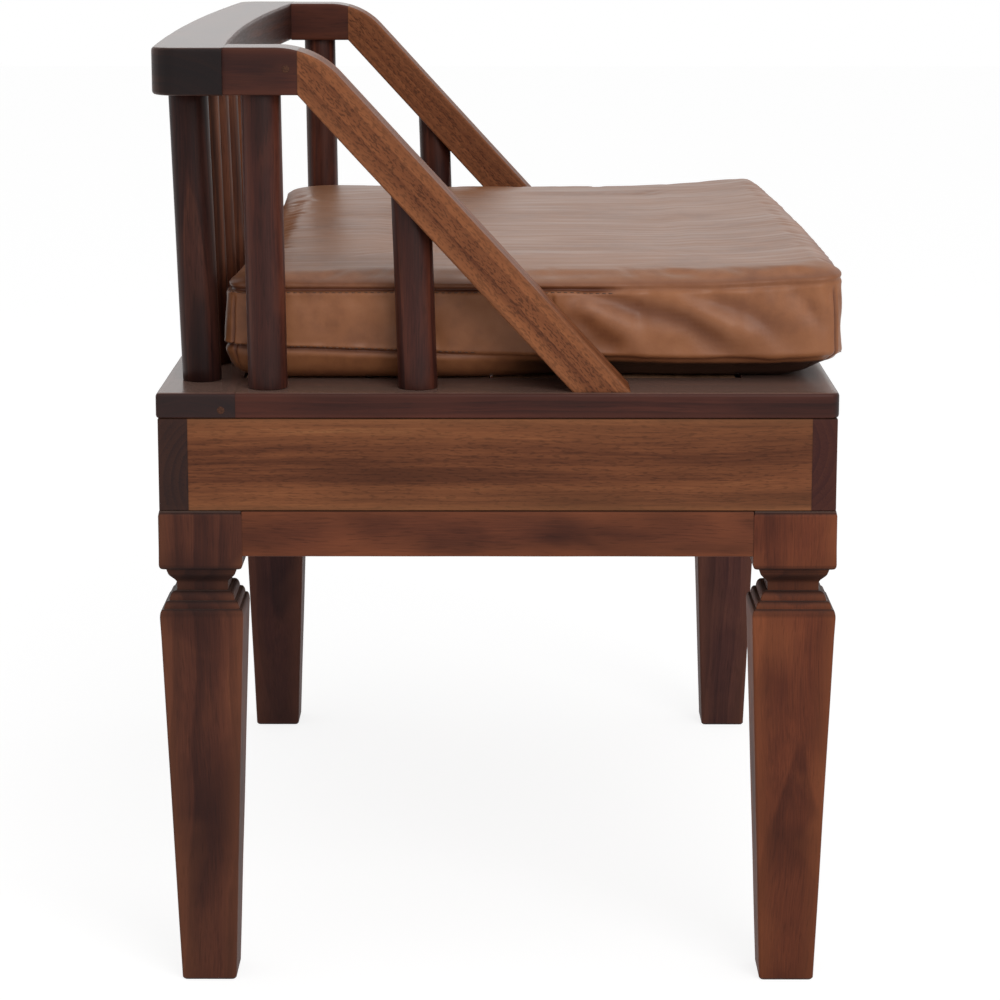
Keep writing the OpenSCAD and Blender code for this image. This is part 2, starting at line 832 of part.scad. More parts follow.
// Cushion: its outline from above, drawn in at the front and back and swelling in front of the arms
cushion_front = -half_d - cushion_overhang;
cushion_back = back_foot_y - spindle_d / 2 - cushion_back_gap;
cushion_mid_y = (cushion_front + cushion_back) / 2;
cushion_half_y = (cushion_back - cushion_front) / 2;
cushion_half_x = arm_in - cushion_side_gap;
cushion_z = seat_top + soft_gap;

// Smooth rise from 0 to 1 over the last part of the cushion in front of the arms
function ahead(y) = let (t = min(1, max(0, (arm_top_foot - 6 - y) / 60))) t * t * (3 - 2 * t);
function swell_x(y) = cushion_half_x + cushion_swell * ahead(y);

// Outline from the front left corner round to the right, as [x, y], with n points on each corner
function outline(n, long_n, short_n) = let (
    r = cushion_corner_r,
    yf = cushion_front,
    yb = cushion_back,
    xf = swell_x(cushion_front),
    xb = swell_x(cushion_back)
) concat(
    arc([-xf + r, yf + r], r, 180, 270, n),
    [for (i = [1:long_n]) let (u = i / (long_n + 1)) [-xf + r + u * 2 * (xf - r), yf + draw_in * pow(sin(180 * u), 0.8)]],
    arc([xf - r, yf + r], r, 270, 360, n),
    [for (i = [1:short_n]) let (y = yf + r + (yb - yf - 2 * r) * i / (short_n + 1)) [swell_x(y), y]],
    arc([xb - r, yb - r], r, 0, 90, n),
    [for (i = [1:long_n]) let (u = i / (long_n + 1)) [xb - r - u * 2 * (xb - r), yb - draw_in * pow(sin(180 * u), 0.8)]],
    arc([-xb + r, yb - r], r, 90, 180, n),
    [for (i = [1:short_n]) let (y = yb - r - (yb - yf - 2 * r) * i / (short_n + 1)) [-swell_x(y), y]]
);

// Rings of the cushion from its underside to its crown, as [inset from the outline, height, share of the lift]
function cushion_rings() = let (h = cushion_h, c = cushion_crown) [
    [110, 0.3, 0], [40, 0, 0], [16, 0.8, 0.1], [7, 4.5, 0.4], [2, 11, 0.7], [0.3, 18, 0.8], [0, 26, 0.9],
    [0.6, h * 0.66, 1], [1.4, h - 9, 1], [2.6, h - 2.5, 1], [4, h, 1], [7, h + 0.3 * c, 1],
    [13, h + 0.5 * c, 0.9], [28, h + 0.68 * c, 0.6], [60, h + 0.84 * c, 0.2], [120, h + c, 0]
];
function foam_rings() = let (h = cushion_h, c = cushion_crown) [
    [60, 0.4, 0], [14, 1.2, 0.1], [4, 10, 0.7], [1.5, 26, 0.9], [3, h - 8, 1], [8, h + 0.1 * c, 1],
    [32, h + 0.64 * c, 0.5], [110, h + 0.94 * c, 0]
];

// One ring of points, drawn in from the outline by its inset, with the front corners lifted
function lift(p) = corner_lift * pow(min(1, abs(p[0]) / cushion_half_x), 6)
    * pow(max(0, (cushion_mid_y - p[1]) / cushion_half_y), 3);
function ring(base, inset, z, share) = [for (p = base)
    [p[0] * (1 - inset / cushion_half_x), cushion_mid_y + (p[1] - cushion_mid_y) * (1 - inset / cushion_half_y),
        z + share * lift(p)]];

// Closed solid through rings of equal length, with a point in the middle of each end
module ring_solid(base, rings, wall) {
    n = len(base);
    m = len(rings);
    zs = [for (k = rings) min(max(k[1], wall), cushion_h + cushion_crown - wall)];
    points = concat(
        [for (k = [0:m - 1]) each ring(base, rings[k][0] + wall, cushion_z + zs[k], rings[k][2])],
        [[0, cushion_mid_y, cushion_z + zs[0]], [0, cushion_mid_y, cushion_z + zs[m - 1] + 0.5]]
    );
    faces = concat(
        [for (k = [0:m - 2], i = [0:n - 1]) [k * n + i, (k + 1) * n + i, (k + 1) * n + (i + 1) % n]],
        [for (k = [0:m - 2], i = [0:n - 1]) [k * n + i, (k + 1) * n + (i + 1) % n, k * n + (i + 1) % n]],
        [for (i = [0:n - 1]) [m * n, i, (i + 1) % n]],
        [for (i = [0:n - 1]) [m * n + 1, (m - 1) * n + (i + 1) % n, (m - 1) * n + i]]
    );
    polyhedron(points, faces);
}

module cushion_cover() {
    color("#93603f")
    difference() {
        ring_solid(outline(3, 9, 9), cushion_rings(), 0);
        ring_solid(outline(2, 5, 5), foam_rings(), cover_t);
    }
}

module cushion_foam() {
    color("#e8dfc6")
    ring_solid(outline(2, 5, 5), foam_rings(), cover_t + soft_gap);
}

leg([-1, -1]);  // leg_front_left
leg([1, -1]);  // leg_front_right
leg([-1, 1]);  // leg_back_left
leg([1, 1]);  // leg_back_right
apron_front();
apron_back();
apron_left();
apron_right();
corner_braces();
leg_bolts();
case_front();
case_back();
case_left();
case_right();
case_dowels();
case_corner_dowels();
seat_rail_back();
seat_rail_front();
seat_rail_left();
seat_rail_right();
seat_frame_dowels();
seat_boards();
seat_bearers();
seat_board_screws();
seat_rail_screws();
back_spindle(1);  // back_spindle_1
back_spindle(2);  // back_spindle_2
back_spindle(3);  // back_spindle_3
back_spindle(4);  // back_spindle_4
back_spindle(5);  // back_spindle_5
back_spindle(6);  // back_spindle_6
back_spindle(7);  // back_spindle_7
back_spindle(8);  // back_spindle_8
back_spindle(9);  // back_spindle_9
side_spindle_rear_left();
side_spindle_front_left();
side_spindle_rear_right();
side_spindle_front_right();
crest_rail();
arm_block_left();
arm_block_right();
arm_slope_left();
arm_slope_right();
crest_dowels();
arm_dowels();
arm_screws();
joint_plugs();
cushion_cover();
cushion_foam();
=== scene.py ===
"""Looks of the upholstered bench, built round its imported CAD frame.

Sizes are in millimetres, as in the part's source, and become metres where a mesh is made.
X runs along the bench, Y from front to back and Z up.
"""

from __future__ import annotations

import json
import logging
import math
from dataclasses import dataclass, field, replace
from enum import Enum
from functools import partial
from typing import Callable, Iterable, Sequence

import bmesh
import bpy
import numpy as np
from mathutils import Matrix, Vector, noise

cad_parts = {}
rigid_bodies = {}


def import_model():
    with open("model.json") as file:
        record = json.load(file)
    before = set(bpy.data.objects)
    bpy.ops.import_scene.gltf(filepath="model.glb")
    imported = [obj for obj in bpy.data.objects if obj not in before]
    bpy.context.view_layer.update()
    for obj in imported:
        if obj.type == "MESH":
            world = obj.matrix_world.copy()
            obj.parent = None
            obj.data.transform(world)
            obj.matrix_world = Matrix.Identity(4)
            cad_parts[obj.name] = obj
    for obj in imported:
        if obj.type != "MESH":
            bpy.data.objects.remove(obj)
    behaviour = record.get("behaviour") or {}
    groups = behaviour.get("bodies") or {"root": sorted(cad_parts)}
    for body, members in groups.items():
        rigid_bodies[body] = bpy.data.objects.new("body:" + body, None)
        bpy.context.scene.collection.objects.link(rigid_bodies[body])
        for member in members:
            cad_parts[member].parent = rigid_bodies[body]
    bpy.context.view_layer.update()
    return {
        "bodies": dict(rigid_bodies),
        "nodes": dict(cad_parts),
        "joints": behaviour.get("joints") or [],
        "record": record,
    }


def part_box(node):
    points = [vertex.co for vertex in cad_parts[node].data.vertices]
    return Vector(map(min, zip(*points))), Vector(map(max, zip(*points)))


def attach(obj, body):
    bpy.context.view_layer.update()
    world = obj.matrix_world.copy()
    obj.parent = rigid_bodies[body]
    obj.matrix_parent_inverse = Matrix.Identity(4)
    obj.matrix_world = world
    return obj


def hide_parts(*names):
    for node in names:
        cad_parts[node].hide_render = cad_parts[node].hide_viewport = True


LOG = logging.getLogger("bench")
MM = 0.001
Point = tuple[float, float]
Place = tuple[float, float, float]


# ------------------------------------------------------------------ nodes and colours


def linear(code: str) -> tuple[float, float, float, float]:
    """Turns an sRGB colour into the linear one that shaders take.

    Args:
        code: The colour as "#rrggbb".

    Returns:
        Linear red, green, blue and an alpha of 1.
    """
    parts = [int(code[i : i + 2], 16) / 255 for i in (1, 3, 5)]
    r, g, b = (c / 12.92 if c <= 0.04045 else ((c + 0.055) / 1.055) ** 2.4 for c in parts)
    return r, g, b, 1.0


def add_node(
    tree: bpy.types.NodeTree, kind: str, inputs: dict[str | int, object] | None = None, out: str | int = 0,
    ramp: Sequence[tuple[float, str]] = (), **settings: object,
) -> bpy.types.NodeSocket | None:
    """Adds a node with its settings, values and links.

    Args:
        tree: The material's or the geometry's node tree.
        kind: Blender's name of the node type, for a material's without its ShaderNode.
        inputs: Socket name or number, with a value or with the output that feeds it.
        out: Name or number of the output to give back.
        ramp: Stops of a colour ramp, as places and sRGB colours.
        **settings: Properties of the node.

    Returns:
        The output asked for, if the node has any.
    """
    node = tree.nodes.new(f"ShaderNode{kind}" if tree.type == "SHADER" else kind)
    for key, value in settings.items():
        setattr(node, key, value)
    for key, value in (inputs or {}).items():
        if isinstance(value, bpy.types.NodeSocket):
            tree.links.new(value, node.inputs[key])
        else:
            node.inputs[key].default_value = value
    if ramp:
        stops = node.color_ramp.elements
        while len(stops) < len(ramp):
            stops.new(0.5)
        for stop, (place, code) in zip(stops, ramp):
            stop.position, stop.color = place, linear(code)
    return node.outputs[out] if node.outputs else None


def blank_material(name: str) -> tuple[bpy.types.Material, Callable[..., bpy.types.NodeSocket]]:
    """Makes a material without nodes.

    Args:
        name: Name of the material.

    Returns:
        The material, and add_node for its tree.
    """
    material = bpy.data.materials.new(name)
    material.use_nodes = True
    material.node_tree.nodes.clear()
    return material, partial(add_node, material.node_tree)


# ------------------------------------------------------------------ finishes


@dataclass(frozen=True)
class LogPlace:
    """Where a board was sawn from its log, so that its figure runs through it as in real wood.

    Attributes:
        centre: Middle of the board, mm.
        along: The way its fibres run.
        face: A direction square to the fibres, out of the board's show face.
        pith: Place of the log's centre from the board's middle, across the face and out of it, mm.
        shift: How far up the log the board was cut, mm.
    """

    centre: Place
    along: Place
    face: Place
    pith: Point
    shift: float

    @classmethod
    def of(cls, node: str, along: Place, face: Place, pith: Point, shift: float) -> LogPlace:
        """Gives the place of a board that fills the box of a CAD node."""
        low, high = cad_box(node)
        return cls(tuple((low + high) / 2), along, face, pith, shift)

    def mapping(self) -> dict[str, object]:
        """Gives the Mapping node's values that take object coordinates to millimetres in the log."""
        x = Vector(self.along).normalized()
        z = Vector(self.face)
        z = (z - x * z.dot(x)).normalized()
        turn = Matrix((x, z.cross(x), z))
        place = Vector((self.shift, -self.pith[0], -self.pith[1])) - turn @ Vector(self.centre)
        return {"Location": place, "Rotation": turn.to_euler(), "Scale": (1 / MM,) * 3}


RING_TONES = ((0.0, "#f4f4f4"), (0.55, "#b8b8b8"), (0.9, "#303030"), (1.0, "#e8e8e8"))
# The second colour is a painted pale sheen on faces that look up; the third darkens joint lines and paints shade in
# the legs' mouldings
PORE_TONE, PAINTED_SHEEN_TONE, JOINT_AND_SHADE_TONE, JOINT_AND_SHADE_SHARE = "#140a08", "#c9a898", "#0d0807", 0.8
# Length and width of the fibres' wander and of a fine fibre as drawn, and the length of a band of years, mm
WANDER_SIZE, FIBRE_SIZE, YEARS_LENGTH = (240, 60), (34, 1.1), 420
# Bands of years per ring, share of the fine fibres in the tone, and rise of the noise from a pore's rim to its floor
YEARS_PER_RING, FIBRE_SHARE, PORE_RIM = 0.55, 0.38, 0.12


@dataclass(frozen=True)
class StainedTimber:
    """Planed tropical hardwood, stained brown and sprayed with satin lacquer.

    The eye sees long streaks of dark and light wood that turn to arcs on the end grain, short open
    pores along the fibres, clouds where the stain took more, and arrises rubbed a little lighter.

    Attributes:
        finish: Name of the finish.
        tones: Four sRGB colours, from the darkest wood to the lightest.
        ring: Width of a growth ring, mm.
        sway: How far the fibres wander from a straight line, mm.
        streak: Share of the tone that comes from the bands of rings.
        bold: Contrast of those bands.
        cloud: Darkness of the stain's clouds.
        cloud_size: Length of a cloud along the fibres, mm.
        cloud_shape: Length of a cloud over its width.
        warm: Share of the lightest tone in the patches where the stain took less.
        pore: Darkness of the pores.
        pore_size: Length and width of a pore as drawn, mm.
        pore_from: Level of the noise above which a pore opens, lower for more pores.
        rough: Roughness of the lacquer.
        gloss: Specular level of the thin lacquer.
        polish: How much smoother the faces that look up are.
        painted_sheen: Share of a painted pale sheen on them.
        rub: How much lighter the arrises are.
        end: Share of the end grain's own tone, as it drinks the stain.
        end_tone: That tone.
    """

    finish: str
    tones: tuple[str, str, str, str]
    ring: float = 6.0
    sway: float = 7.0
    streak: float = 0.5
    bold: float = 2.8
    cloud: float = 0.5
    cloud_size: float = 120.0
    cloud_shape: float = 2.2
    warm: float = 0.0
    pore: float = 0.45
    pore_size: Point = (13.0, 1.3)
    pore_from: float = 0.58
    rough: float = 0.38
    gloss: float = 0.16
    polish: float = 0.17
    painted_sheen: float = 0.12
    rub: float = 0.35
    end: float = 0.8
    end_tone: str = "#231a1a"

    def dress(self, piece: str, log: LogPlace, own_shift: bool = False) -> bpy.types.Material:
        """Makes the finish for one board.

        Args:
            piece: Name of the board.
            log: Where the board was sawn from its log.
            own_shift: True where the mesh holds several pieces, each with its own place in the log.

        Returns:
            The board's material.
        """
        material, add = blank_material(f"{self.finish}_{piece}")
        place = add("TexCoord", out="Object")
        if own_shift:
            own = add("Attribute", out="Vector", attribute_name="log_shift")
            place = add("VectorMath", {0: place, 1: own}, operation="ADD")
        wood = add("Mapping", {"Vector": place, **log.mapping()})

        # Fibres that wander a little, so that no streak is ruled
        long, wide = WANDER_SIZE
        slow = add("VectorMath", {0: wood, 1: (1 / long, 1 / wide, 1 / wide)}, operation="MULTIPLY")
        sway = add("TexNoise", {"Vector": slow, "Scale": 1.0, "Detail": 2.0}, "Color")
        wander = (0.0, 2 * self.sway, 2 * self.sway)
        fibre = add("VectorMath", {0: sway, 1: wander, 2: wood}, operation="MULTIPLY_ADD")

        # Growth rings round the pith, and bands of darker and lighter years
        rings = (0.0, 1 / self.ring, 1 / self.ring)
        across = add("VectorMath", {0: fibre, 1: rings}, operation="MULTIPLY")
        count = add("VectorMath", {0: across}, "Value", operation="LENGTH")
        ring = add("Math", {0: count}, operation="FRACT")
        ring = add("ValToRGB", {"Fac": ring}, ramp=RING_TONES)
        length = add("SeparateXYZ", {0: wood})
        run = add("Math", {0: length, 1: 1 / YEARS_LENGTH}, operation="MULTIPLY")
        group = add("Math", {0: count, 1: YEARS_PER_RING}, operation="MULTIPLY")
        years = add("CombineXYZ", {"X": group, "Y": run})
        band = add("TexNoise", {"Vector": years, "Scale": 1.0, "Detail": 3.0, "Roughness": 0.6})
        reach = 0.5 / self.bold
        band = add("MapRange", {"Value": band, "From Min": 0.5 - reach, "From Max": 0.5 + reach})

        # Fine fibres and open pores, drawn wider than real ones so that they show, and the stain's clouds
        cloud_size = (self.cloud_size, self.cloud_size / self.cloud_shape)
        drawn = []
        for grain, (long, wide), values in (
            (fibre, FIBRE_SIZE, {"Scale": 1.0, "Detail": 3.0, "Roughness": 0.65}),
            (fibre, self.pore_size, {"Scale": 1.0, "Detail": 1.0}),
            (wood, cloud_size, {"Scale": 1.0, "Detail": 3.0, "Distortion": 0.3}),
            (wood, cloud_size, {"Scale": 1.3, "Detail": 2.0, "Distortion": 0.4}),
        ):
            cell = add("VectorMath", {0: grain, 1: (1 / long, 1 / wide, 1 / wide)}, operation="MULTIPLY")
            drawn.append(add("TexNoise", {"Vector": cell, **values}).node.outputs)
        thread = drawn[0]["Fac"]
        patch = add("SeparateXYZ", {0: drawn[3]["Color"]}, "Y")
        # The joint attribute holds the boards' dark joint lines, and on the legs painted shade in the mouldings
        arris, joint = (add("Attribute", out="Fac", attribute_name=name) for name in ("arris", "joint"))

        # End grain looks along the fibres. Faces that look up are smoother, and get a painted pale sheen
        normal = add("NewGeometry", out="Normal")
        fibres = Vector(log.along).normalized()
        facing = add("VectorMath", {0: normal, 1: fibres}, "Value", operation="DOT_PRODUCT")
        facing = add("Math", {0: facing}, operation="ABSOLUTE")
        up = add("SeparateXYZ", {0: normal}, "Z")
        pore, cloud, patch, end, up = (
            add("MapRange", {"Value": level, "From Min": low, "From Max": high})
            for level, low, high in (
                (drawn[1]["Fac"], self.pore_from, self.pore_from + PORE_RIM), (drawn[2]["Fac"], 0.42, 0.72),
                (patch, 0.46, 0.74), (facing, 0.3, 0.9), (up, 0.85, 0.98),
            )
        )

        # Tone of the wood, then what lies over it, from the first coat of stain to the painted sheen on the tops and
        # the joint's dark line, which on the legs paints shade in the mouldings
        tone = add("Mix", {0: self.streak, 6: ring, 7: band}, 2, data_type="RGBA")
        tone = add("Mix", {0: FIBRE_SHARE, 6: tone, 7: thread}, 2, data_type="RGBA")
        dark, deep, mid, light = self.tones
        colour = add("ValToRGB", {"Fac": tone}, ramp=((0.18, dark), (0.42, deep), (0.62, mid), (0.85, light)))
        for where, share, tint in (
            (cloud, self.cloud, dark), (patch, self.warm, light), (pore, self.pore, PORE_TONE),
            (arris, self.rub, light), (end, self.end, self.end_tone),
            (up, self.painted_sheen, PAINTED_SHEEN_TONE), (joint, JOINT_AND_SHADE_SHARE, JOINT_AND_SHADE_TONE),
        ):
            if share:
                part = add("Math", {0: where, 1: share}, operation="MULTIPLY")
                colour = add("Mix", {0: part, 6: colour, 7: linear(tint)}, 2, data_type="RGBA")

        # The lacquer shines at a low angle on the faces that look up, and hides their fibres
        to = {"To Min": self.rough - 0.05, "To Max": self.rough + 0.08}
        gloss = add("MapRange", {"Value": thread, "From Min": 0.3, "From Max": 0.7, **to})
        gloss = add("Mix", {0: up, 2: gloss, 3: self.rough - self.polish})
        depth = add("Math", {0: thread, 1: pore}, operation="SUBTRACT")
        even = add("Math", {0: 1.0, 1: up}, operation="SUBTRACT")
        depth = add("Math", {0: depth, 1: even}, operation="MULTIPLY")
        bump = add("Bump", {"Height": depth, "Strength": 0.2, "Distance": 0.09 * MM})
        values = {"Base Color": colour, "Roughness": gloss, "Normal": bump, "Specular IOR Level": self.gloss}
        add("OutputMaterial", {"Surface": add("BsdfPrincipled", values)})
        return material


@dataclass(frozen=True)
class FullGrainLeather:
    """Drum-dyed full-grain cowhide with a waxed face.

    The eye sees a warm brown with soft lighter and darker clouds, a fine pebble drawn 1.6 mm wide,
    faint streaks where the hide was stretched, and darker seam lines. Painted shade darkens the folds,
    the top's turned edge and the tucked front edge, and a painted grey sheen lies on the top.
    """

    body: str = "#8d5a3a"
    pale: str = "#a06a46"
    deep: str = "#5c3423"
    # Colour of the painted grey sheen on the top
    painted_sheen_tint: str = "#7b5a40"
    # Colour of the painted shade on the tucked front edge
    tucked: str = "#2a1f1d"
    rough: float = 0.42
    gloss: float = 0.27

    def dress(self, piece: str) -> bpy.types.Material:
        """Makes the leather.

        Args:
            piece: Name of the piece.

        Returns:
            The material.
        """
        material, add = blank_material(f"full_grain_leather_{piece}")
        place = add("TexCoord", out="Object")
        hide = add("VectorMath", {0: place, "Scale": 1 / MM}, operation="SCALE")
        wide = add("TexNoise", {"Vector": hide, "Scale": 1 / 75, "Detail": 3.0, "Distortion": 0.4})
        small = add("TexNoise", {"Vector": hide, "Scale": 1 / 9, "Detail": 4.0})
        tone = add("Mix", {0: 0.35, 6: wide, 7: small}, 2, data_type="RGBA")
        colour = add("ValToRGB", {"Fac": tone}, ramp=((0.34, self.deep), (0.5, self.body), (0.66, self.pale)))

        # Darker seam lines, painted shade in the folds and on the tucked edge, and a painted grey sheen on the top
        up = add("SeparateXYZ", {0: add("NewGeometry", out="Normal")}, "Z")
        painted_sheen_tint, rubbed = (
            add("MapRange", {"Value": up, "From Min": 0.9, "From Max": 0.99, "To Max": most})
            for most in (0.35, 0.05)
        )
        fold, painted_tuck_shade = (add("Attribute", out="Fac", attribute_name=name) for name in ("fold", "painted_tuck_shade"))
        for part, tint in ((0.55, self.body), (fold, self.deep), (painted_sheen_tint, self.painted_sheen_tint), (painted_tuck_shade, self.tucked)):
            colour = add("Mix", {0: part, 6: colour, 7: linear(tint)}, 2, data_type="RGBA")

        stretched = add("VectorMath", {0: hide, 1: (1 / 7, 1 / 90, 1 / 12)}, operation="MULTIPLY")
        streak = add("TexNoise", {"Vector": stretched, "Scale": 1.0, "Detail": 3.0})
        to = {"To Min": self.rough - 0.05, "To Max": self.rough + 0.07}
        gloss = add("MapRange", {"Value": streak, "From Min": 0.3, "From Max": 0.7, **to})
        gloss = add("Math", {0: gloss, 1: rubbed}, operation="SUBTRACT")
        pebble = add("TexVoronoi", {"Vector": hide, "Scale": 1 / 1.6}, "Distance", feature="SMOOTH_F1")
        height = add("Math", {0: streak, 1: 0.6, 2: pebble}, operation="MULTIPLY_ADD")
        bump = add("Bump", {"Height": height, "Strength": 0.3, "Distance": 0.15 * MM})
        values = {"Base Color": colour, "Roughness": gloss, "Normal": bump, "Specular IOR Level": self.gloss}
        add("OutputMaterial", {"Surface": add("BsdfPrincipled", values)})
        return material


@dataclass(frozen=True)
class PlainFinish:
    """A finish that shows little: a base colour broken by one noise, with its own gloss and bump.

    Attributes:
        finish: Name of the real finish.
        low: Darker sRGB colour.
        high: Lighter sRGB colour.
        grain: Size of the mottling along X, Y and Z, mm.
        rough: Roughness.
        metallic: 1 for bare metal, 0 otherwise.
        gloss: Specular level.
    """

    finish: str
    low: str
    high: str
    grain: Place
    rough: float
    metallic: float = 0.0
    gloss: float = 0.5

    def dress(self, piece: str) -> bpy.types.Material:
        """Makes the finish for one piece.

        Args:
            piece: Name of the piece.

        Returns:
            The material.
        """
        material, add = blank_material(f"{self.finish}_{piece}")
        place = add("TexCoord", out="Object")
        size = tuple(1 / (MM * g) for g in self.grain)
        scaled = add("VectorMath", {0: place, 1: size}, operation="MULTIPLY")
        mottle = add("TexNoise", {"Vector": scaled, "Scale": 1.0, "Detail": 3.0})
        colour = add("ValToRGB", {"Fac": mottle}, ramp=((0.35, self.low), (0.65, self.high)))
        to = {"To Min": self.rough - 0.06, "To Max": self.rough + 0.08}
        gloss = add("MapRange", {"Value": mottle, "From Min": 0.3, "From Max": 0.7, **to})
        bump = add("Bump", {"Height": mottle, "Strength": 0.4, "Distance": 0.1 * MM})
        values = {"Base Color": colour, "Roughness": gloss, "Normal": bump, "Specular IOR Level": self.gloss}
        shader = add("BsdfPrincipled", {**values, "Metallic": self.metallic})
        add("OutputMaterial", {"Surface": shader})
        return material


# Leg and apron: red-brown stain, cloudy; case: lighter, long straight streaks; back: nearly black
LEG_TIMBER = StainedTimber(
    "stained_leg_timber", ("#281412", "#42241c", "#5a3225", "#764730"),
    ring=9, sway=14, streak=0.7, bold=1.5, cloud=0.7, cloud_size=85, cloud_shape=1.2, warm=0.3, pore=0.2,
    rough=0.58, gloss=0.12,
)
# Painted light: a lighter copy of the leg timber for the lit front left leg, and a darker one for the far legs in
# shade
LIT_FRONT_LEG_TIMBER = replace(LEG_TIMBER, tones=("#351912", "#52291c", "#6e3925", "#8c5031"), warm=0.45)
SHADED_FAR_LEG_TIMBER = replace(LEG_TIMBER, tones=("#2a1819", "#412624", "#57342e", "#734838"))
APRON_TIMBER = StainedTimber(
    "stained_apron_timber", ("#26110e", "#46251a", "#613423", "#7d462c"),
    ring=7, sway=10, streak=0.7, bold=2.0, cloud=0.75, cloud_size=95, cloud_shape=1.6, warm=0.5, pore=0.3,
    rough=0.5, gloss=0.12,
)
CASE_TIMBER = StainedTimber(
    "stained_case_timber", ("#3d2013", "#5b3320", "#78472c", "#90603d"),
    ring=5, sway=5, streak=0.88, bold=1.8, cloud=0.4, cloud_size=110, pore=0.32, pore_size=(6.0, 1.0), pore_from=0.54,
    rough=0.5, gloss=0.12,
)
BOARD_TIMBER = StainedTimber(
    "stained_board_timber", ("#2a130c", "#4c271b", "#653925", "#78472f"),
    ring=5, sway=4, streak=0.5, cloud=0.5, cloud_size=200, pore=0.5, rough=0.5, gloss=0.12,
)
FRONT_BOARD_TIMBER = replace(BOARD_TIMBER, end_tone="#361b1a")
# The seat rails get more of the painted pale sheen on their tops
SEAT_TIMBER = StainedTimber(
    "stained_seat_timber", ("#190a09", "#2d130f", "#421f18", "#5a2f23"),
    ring=6, sway=6, streak=0.6, cloud=0.6, cloud_size=120, warm=0.3, pore=0.3, rough=0.4, painted_sheen=0.2,
)
BACK_TIMBER = StainedTimber(
    "stained_back_timber", ("#150b0c", "#271412", "#3d2117", "#573122"),
    ring=6, sway=8, streak=0.6, cloud=0.7, cloud_size=90, pore=0.3, rough=0.4, end=0.9, end_tone="#140e0f",
)
BLOCK_TIMBER = replace(BACK_TIMBER, tones=("#1d0f0e", "#321614", "#4b251b", "#683825"), warm=0.3)
SPINDLE_TIMBER = StainedTimber(
    "stained_spindle_timber", ("#1f100e", "#3a1d18", "#532b20", "#703c28"),
    ring=6, sway=6, streak=0.6, cloud=0.65, cloud_size=90, warm=0.35, pore=0.3, rough=0.4, rub=0.0,
)
# Painted light: a lighter copy for the inner back spindles, which are lit from the side
LIT_ROW_TIMBER = replace(SPINDLE_TIMBER, tones=("#261310", "#482a1e", "#673c2a", "#8d593b"), rough=0.45, gloss=0.1)
END_TIMBER = replace(SPINDLE_TIMBER, tones=("#150b0b", "#261412", "#3b201b", "#5a3426"), warm=0.25, gloss=0.12)
ARM_TIMBER = StainedTimber(
    "stained_arm_timber", ("#4a2616", "#693c25", "#834e30", "#98603d"),
    ring=6, sway=4, streak=0.6, bold=1.6, cloud=0.3, cloud_size=90, pore=0.5, pore_size=(3.2, 1.0), pore_from=0.5,
    rough=0.5, gloss=0.12,
)
INNER_TIMBER = StainedTimber(
    "raw_inner_timber", ("#5a3a26", "#7c5438", "#94694a", "#a97d5a"),
    ring=8, sway=8, streak=0.5, cloud=0.25, cloud_size=200, pore=0.4, rough=0.6, end=0.2,
)
LEATHER = FullGrainLeather()
DOWEL_WOOD = PlainFinish("planed_beech", "#b98c5e", "#d0a878", (1.2, 1.2, 14.0), 0.6)
PLUG_WOOD = PlainFinish("stained_plug", "#38231b", "#523427", (1.0, 1.0, 1.0), 0.7, gloss=0.1)
ZINC_STEEL = PlainFinish("zinc_plated_steel", "#8f9194", "#b2b4b6", (3.0, 3.0, 3.0), 0.38, 1.0)
THREAD = PlainFinish("bonded_nylon_thread", "#3c2218", "#63402c", (0.6, 0.6, 0.6), 0.5)


# ------------------------------------------------------------------ meshes


def show(name: str, data: bpy.types.ID) -> bpy.types.Object:
    """Puts a mesh, lamp or camera into the scene as an object at the origin."""
    piece = bpy.data.objects.new(name, data)
    bpy.context.scene.collection.objects.link(piece)
    return piece


def finish_mesh(
    name: str, bm: bmesh.types.BMesh, material: bpy.types.Material, weighted: bool = True
) -> bpy.types.Object:
    """Turns a mesh in millimetres into a finished object in metres, at the origin.

    Args:
        name: Name of the piece.
        bm: The mesh, which is freed.
        material: Its finish.
        weighted: True to let the large faces set the normals, as on planed timber.

    Returns:
        The object, linked to the scene.
    """
    bmesh.ops.scale(bm, vec=(MM,) * 3, verts=bm.verts)
    mesh = bpy.data.meshes.new(name)
    bm.to_mesh(mesh)
    bm.free()
    mesh.shade_smooth()
    mesh.materials.append(material)
    piece = show(name, mesh)
    if weighted:
        normals = piece.modifiers.new("face_normals", "WEIGHTED_NORMAL")
        normals.weight, normals.keep_sharp = 80, True
    return piece


def mount(piece: bpy.types.Object, body: str, nodes: Iterable[str] = ()) -> None:
    """Fixes a finished piece to its body and says what it stands for.

    Args:
        piece: The finished piece.
        body: Name of the CAD body that it moves with.
        nodes: CAD nodes that it stands for.
    """
    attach(piece, body)
    names = list(nodes)
    if names:
        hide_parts(*names)
    LOG.info("%s: %d faces, for %s", piece.name, len(piece.data.polygons), ", ".join(names) or "detail")


class Axis(Enum):
    """The way a section is drawn out."""

    LENGTH = 0
    DEPTH = 1
    HEIGHT = 2

    def point(self, a: float, b: float, c: float) -> Vector:
        """Gives the point at (a, b) of the section, c along the axis."""
        return Vector({0: (c, a, b), 1: (a, c, b), 2: (a, b, c)}[self.value])


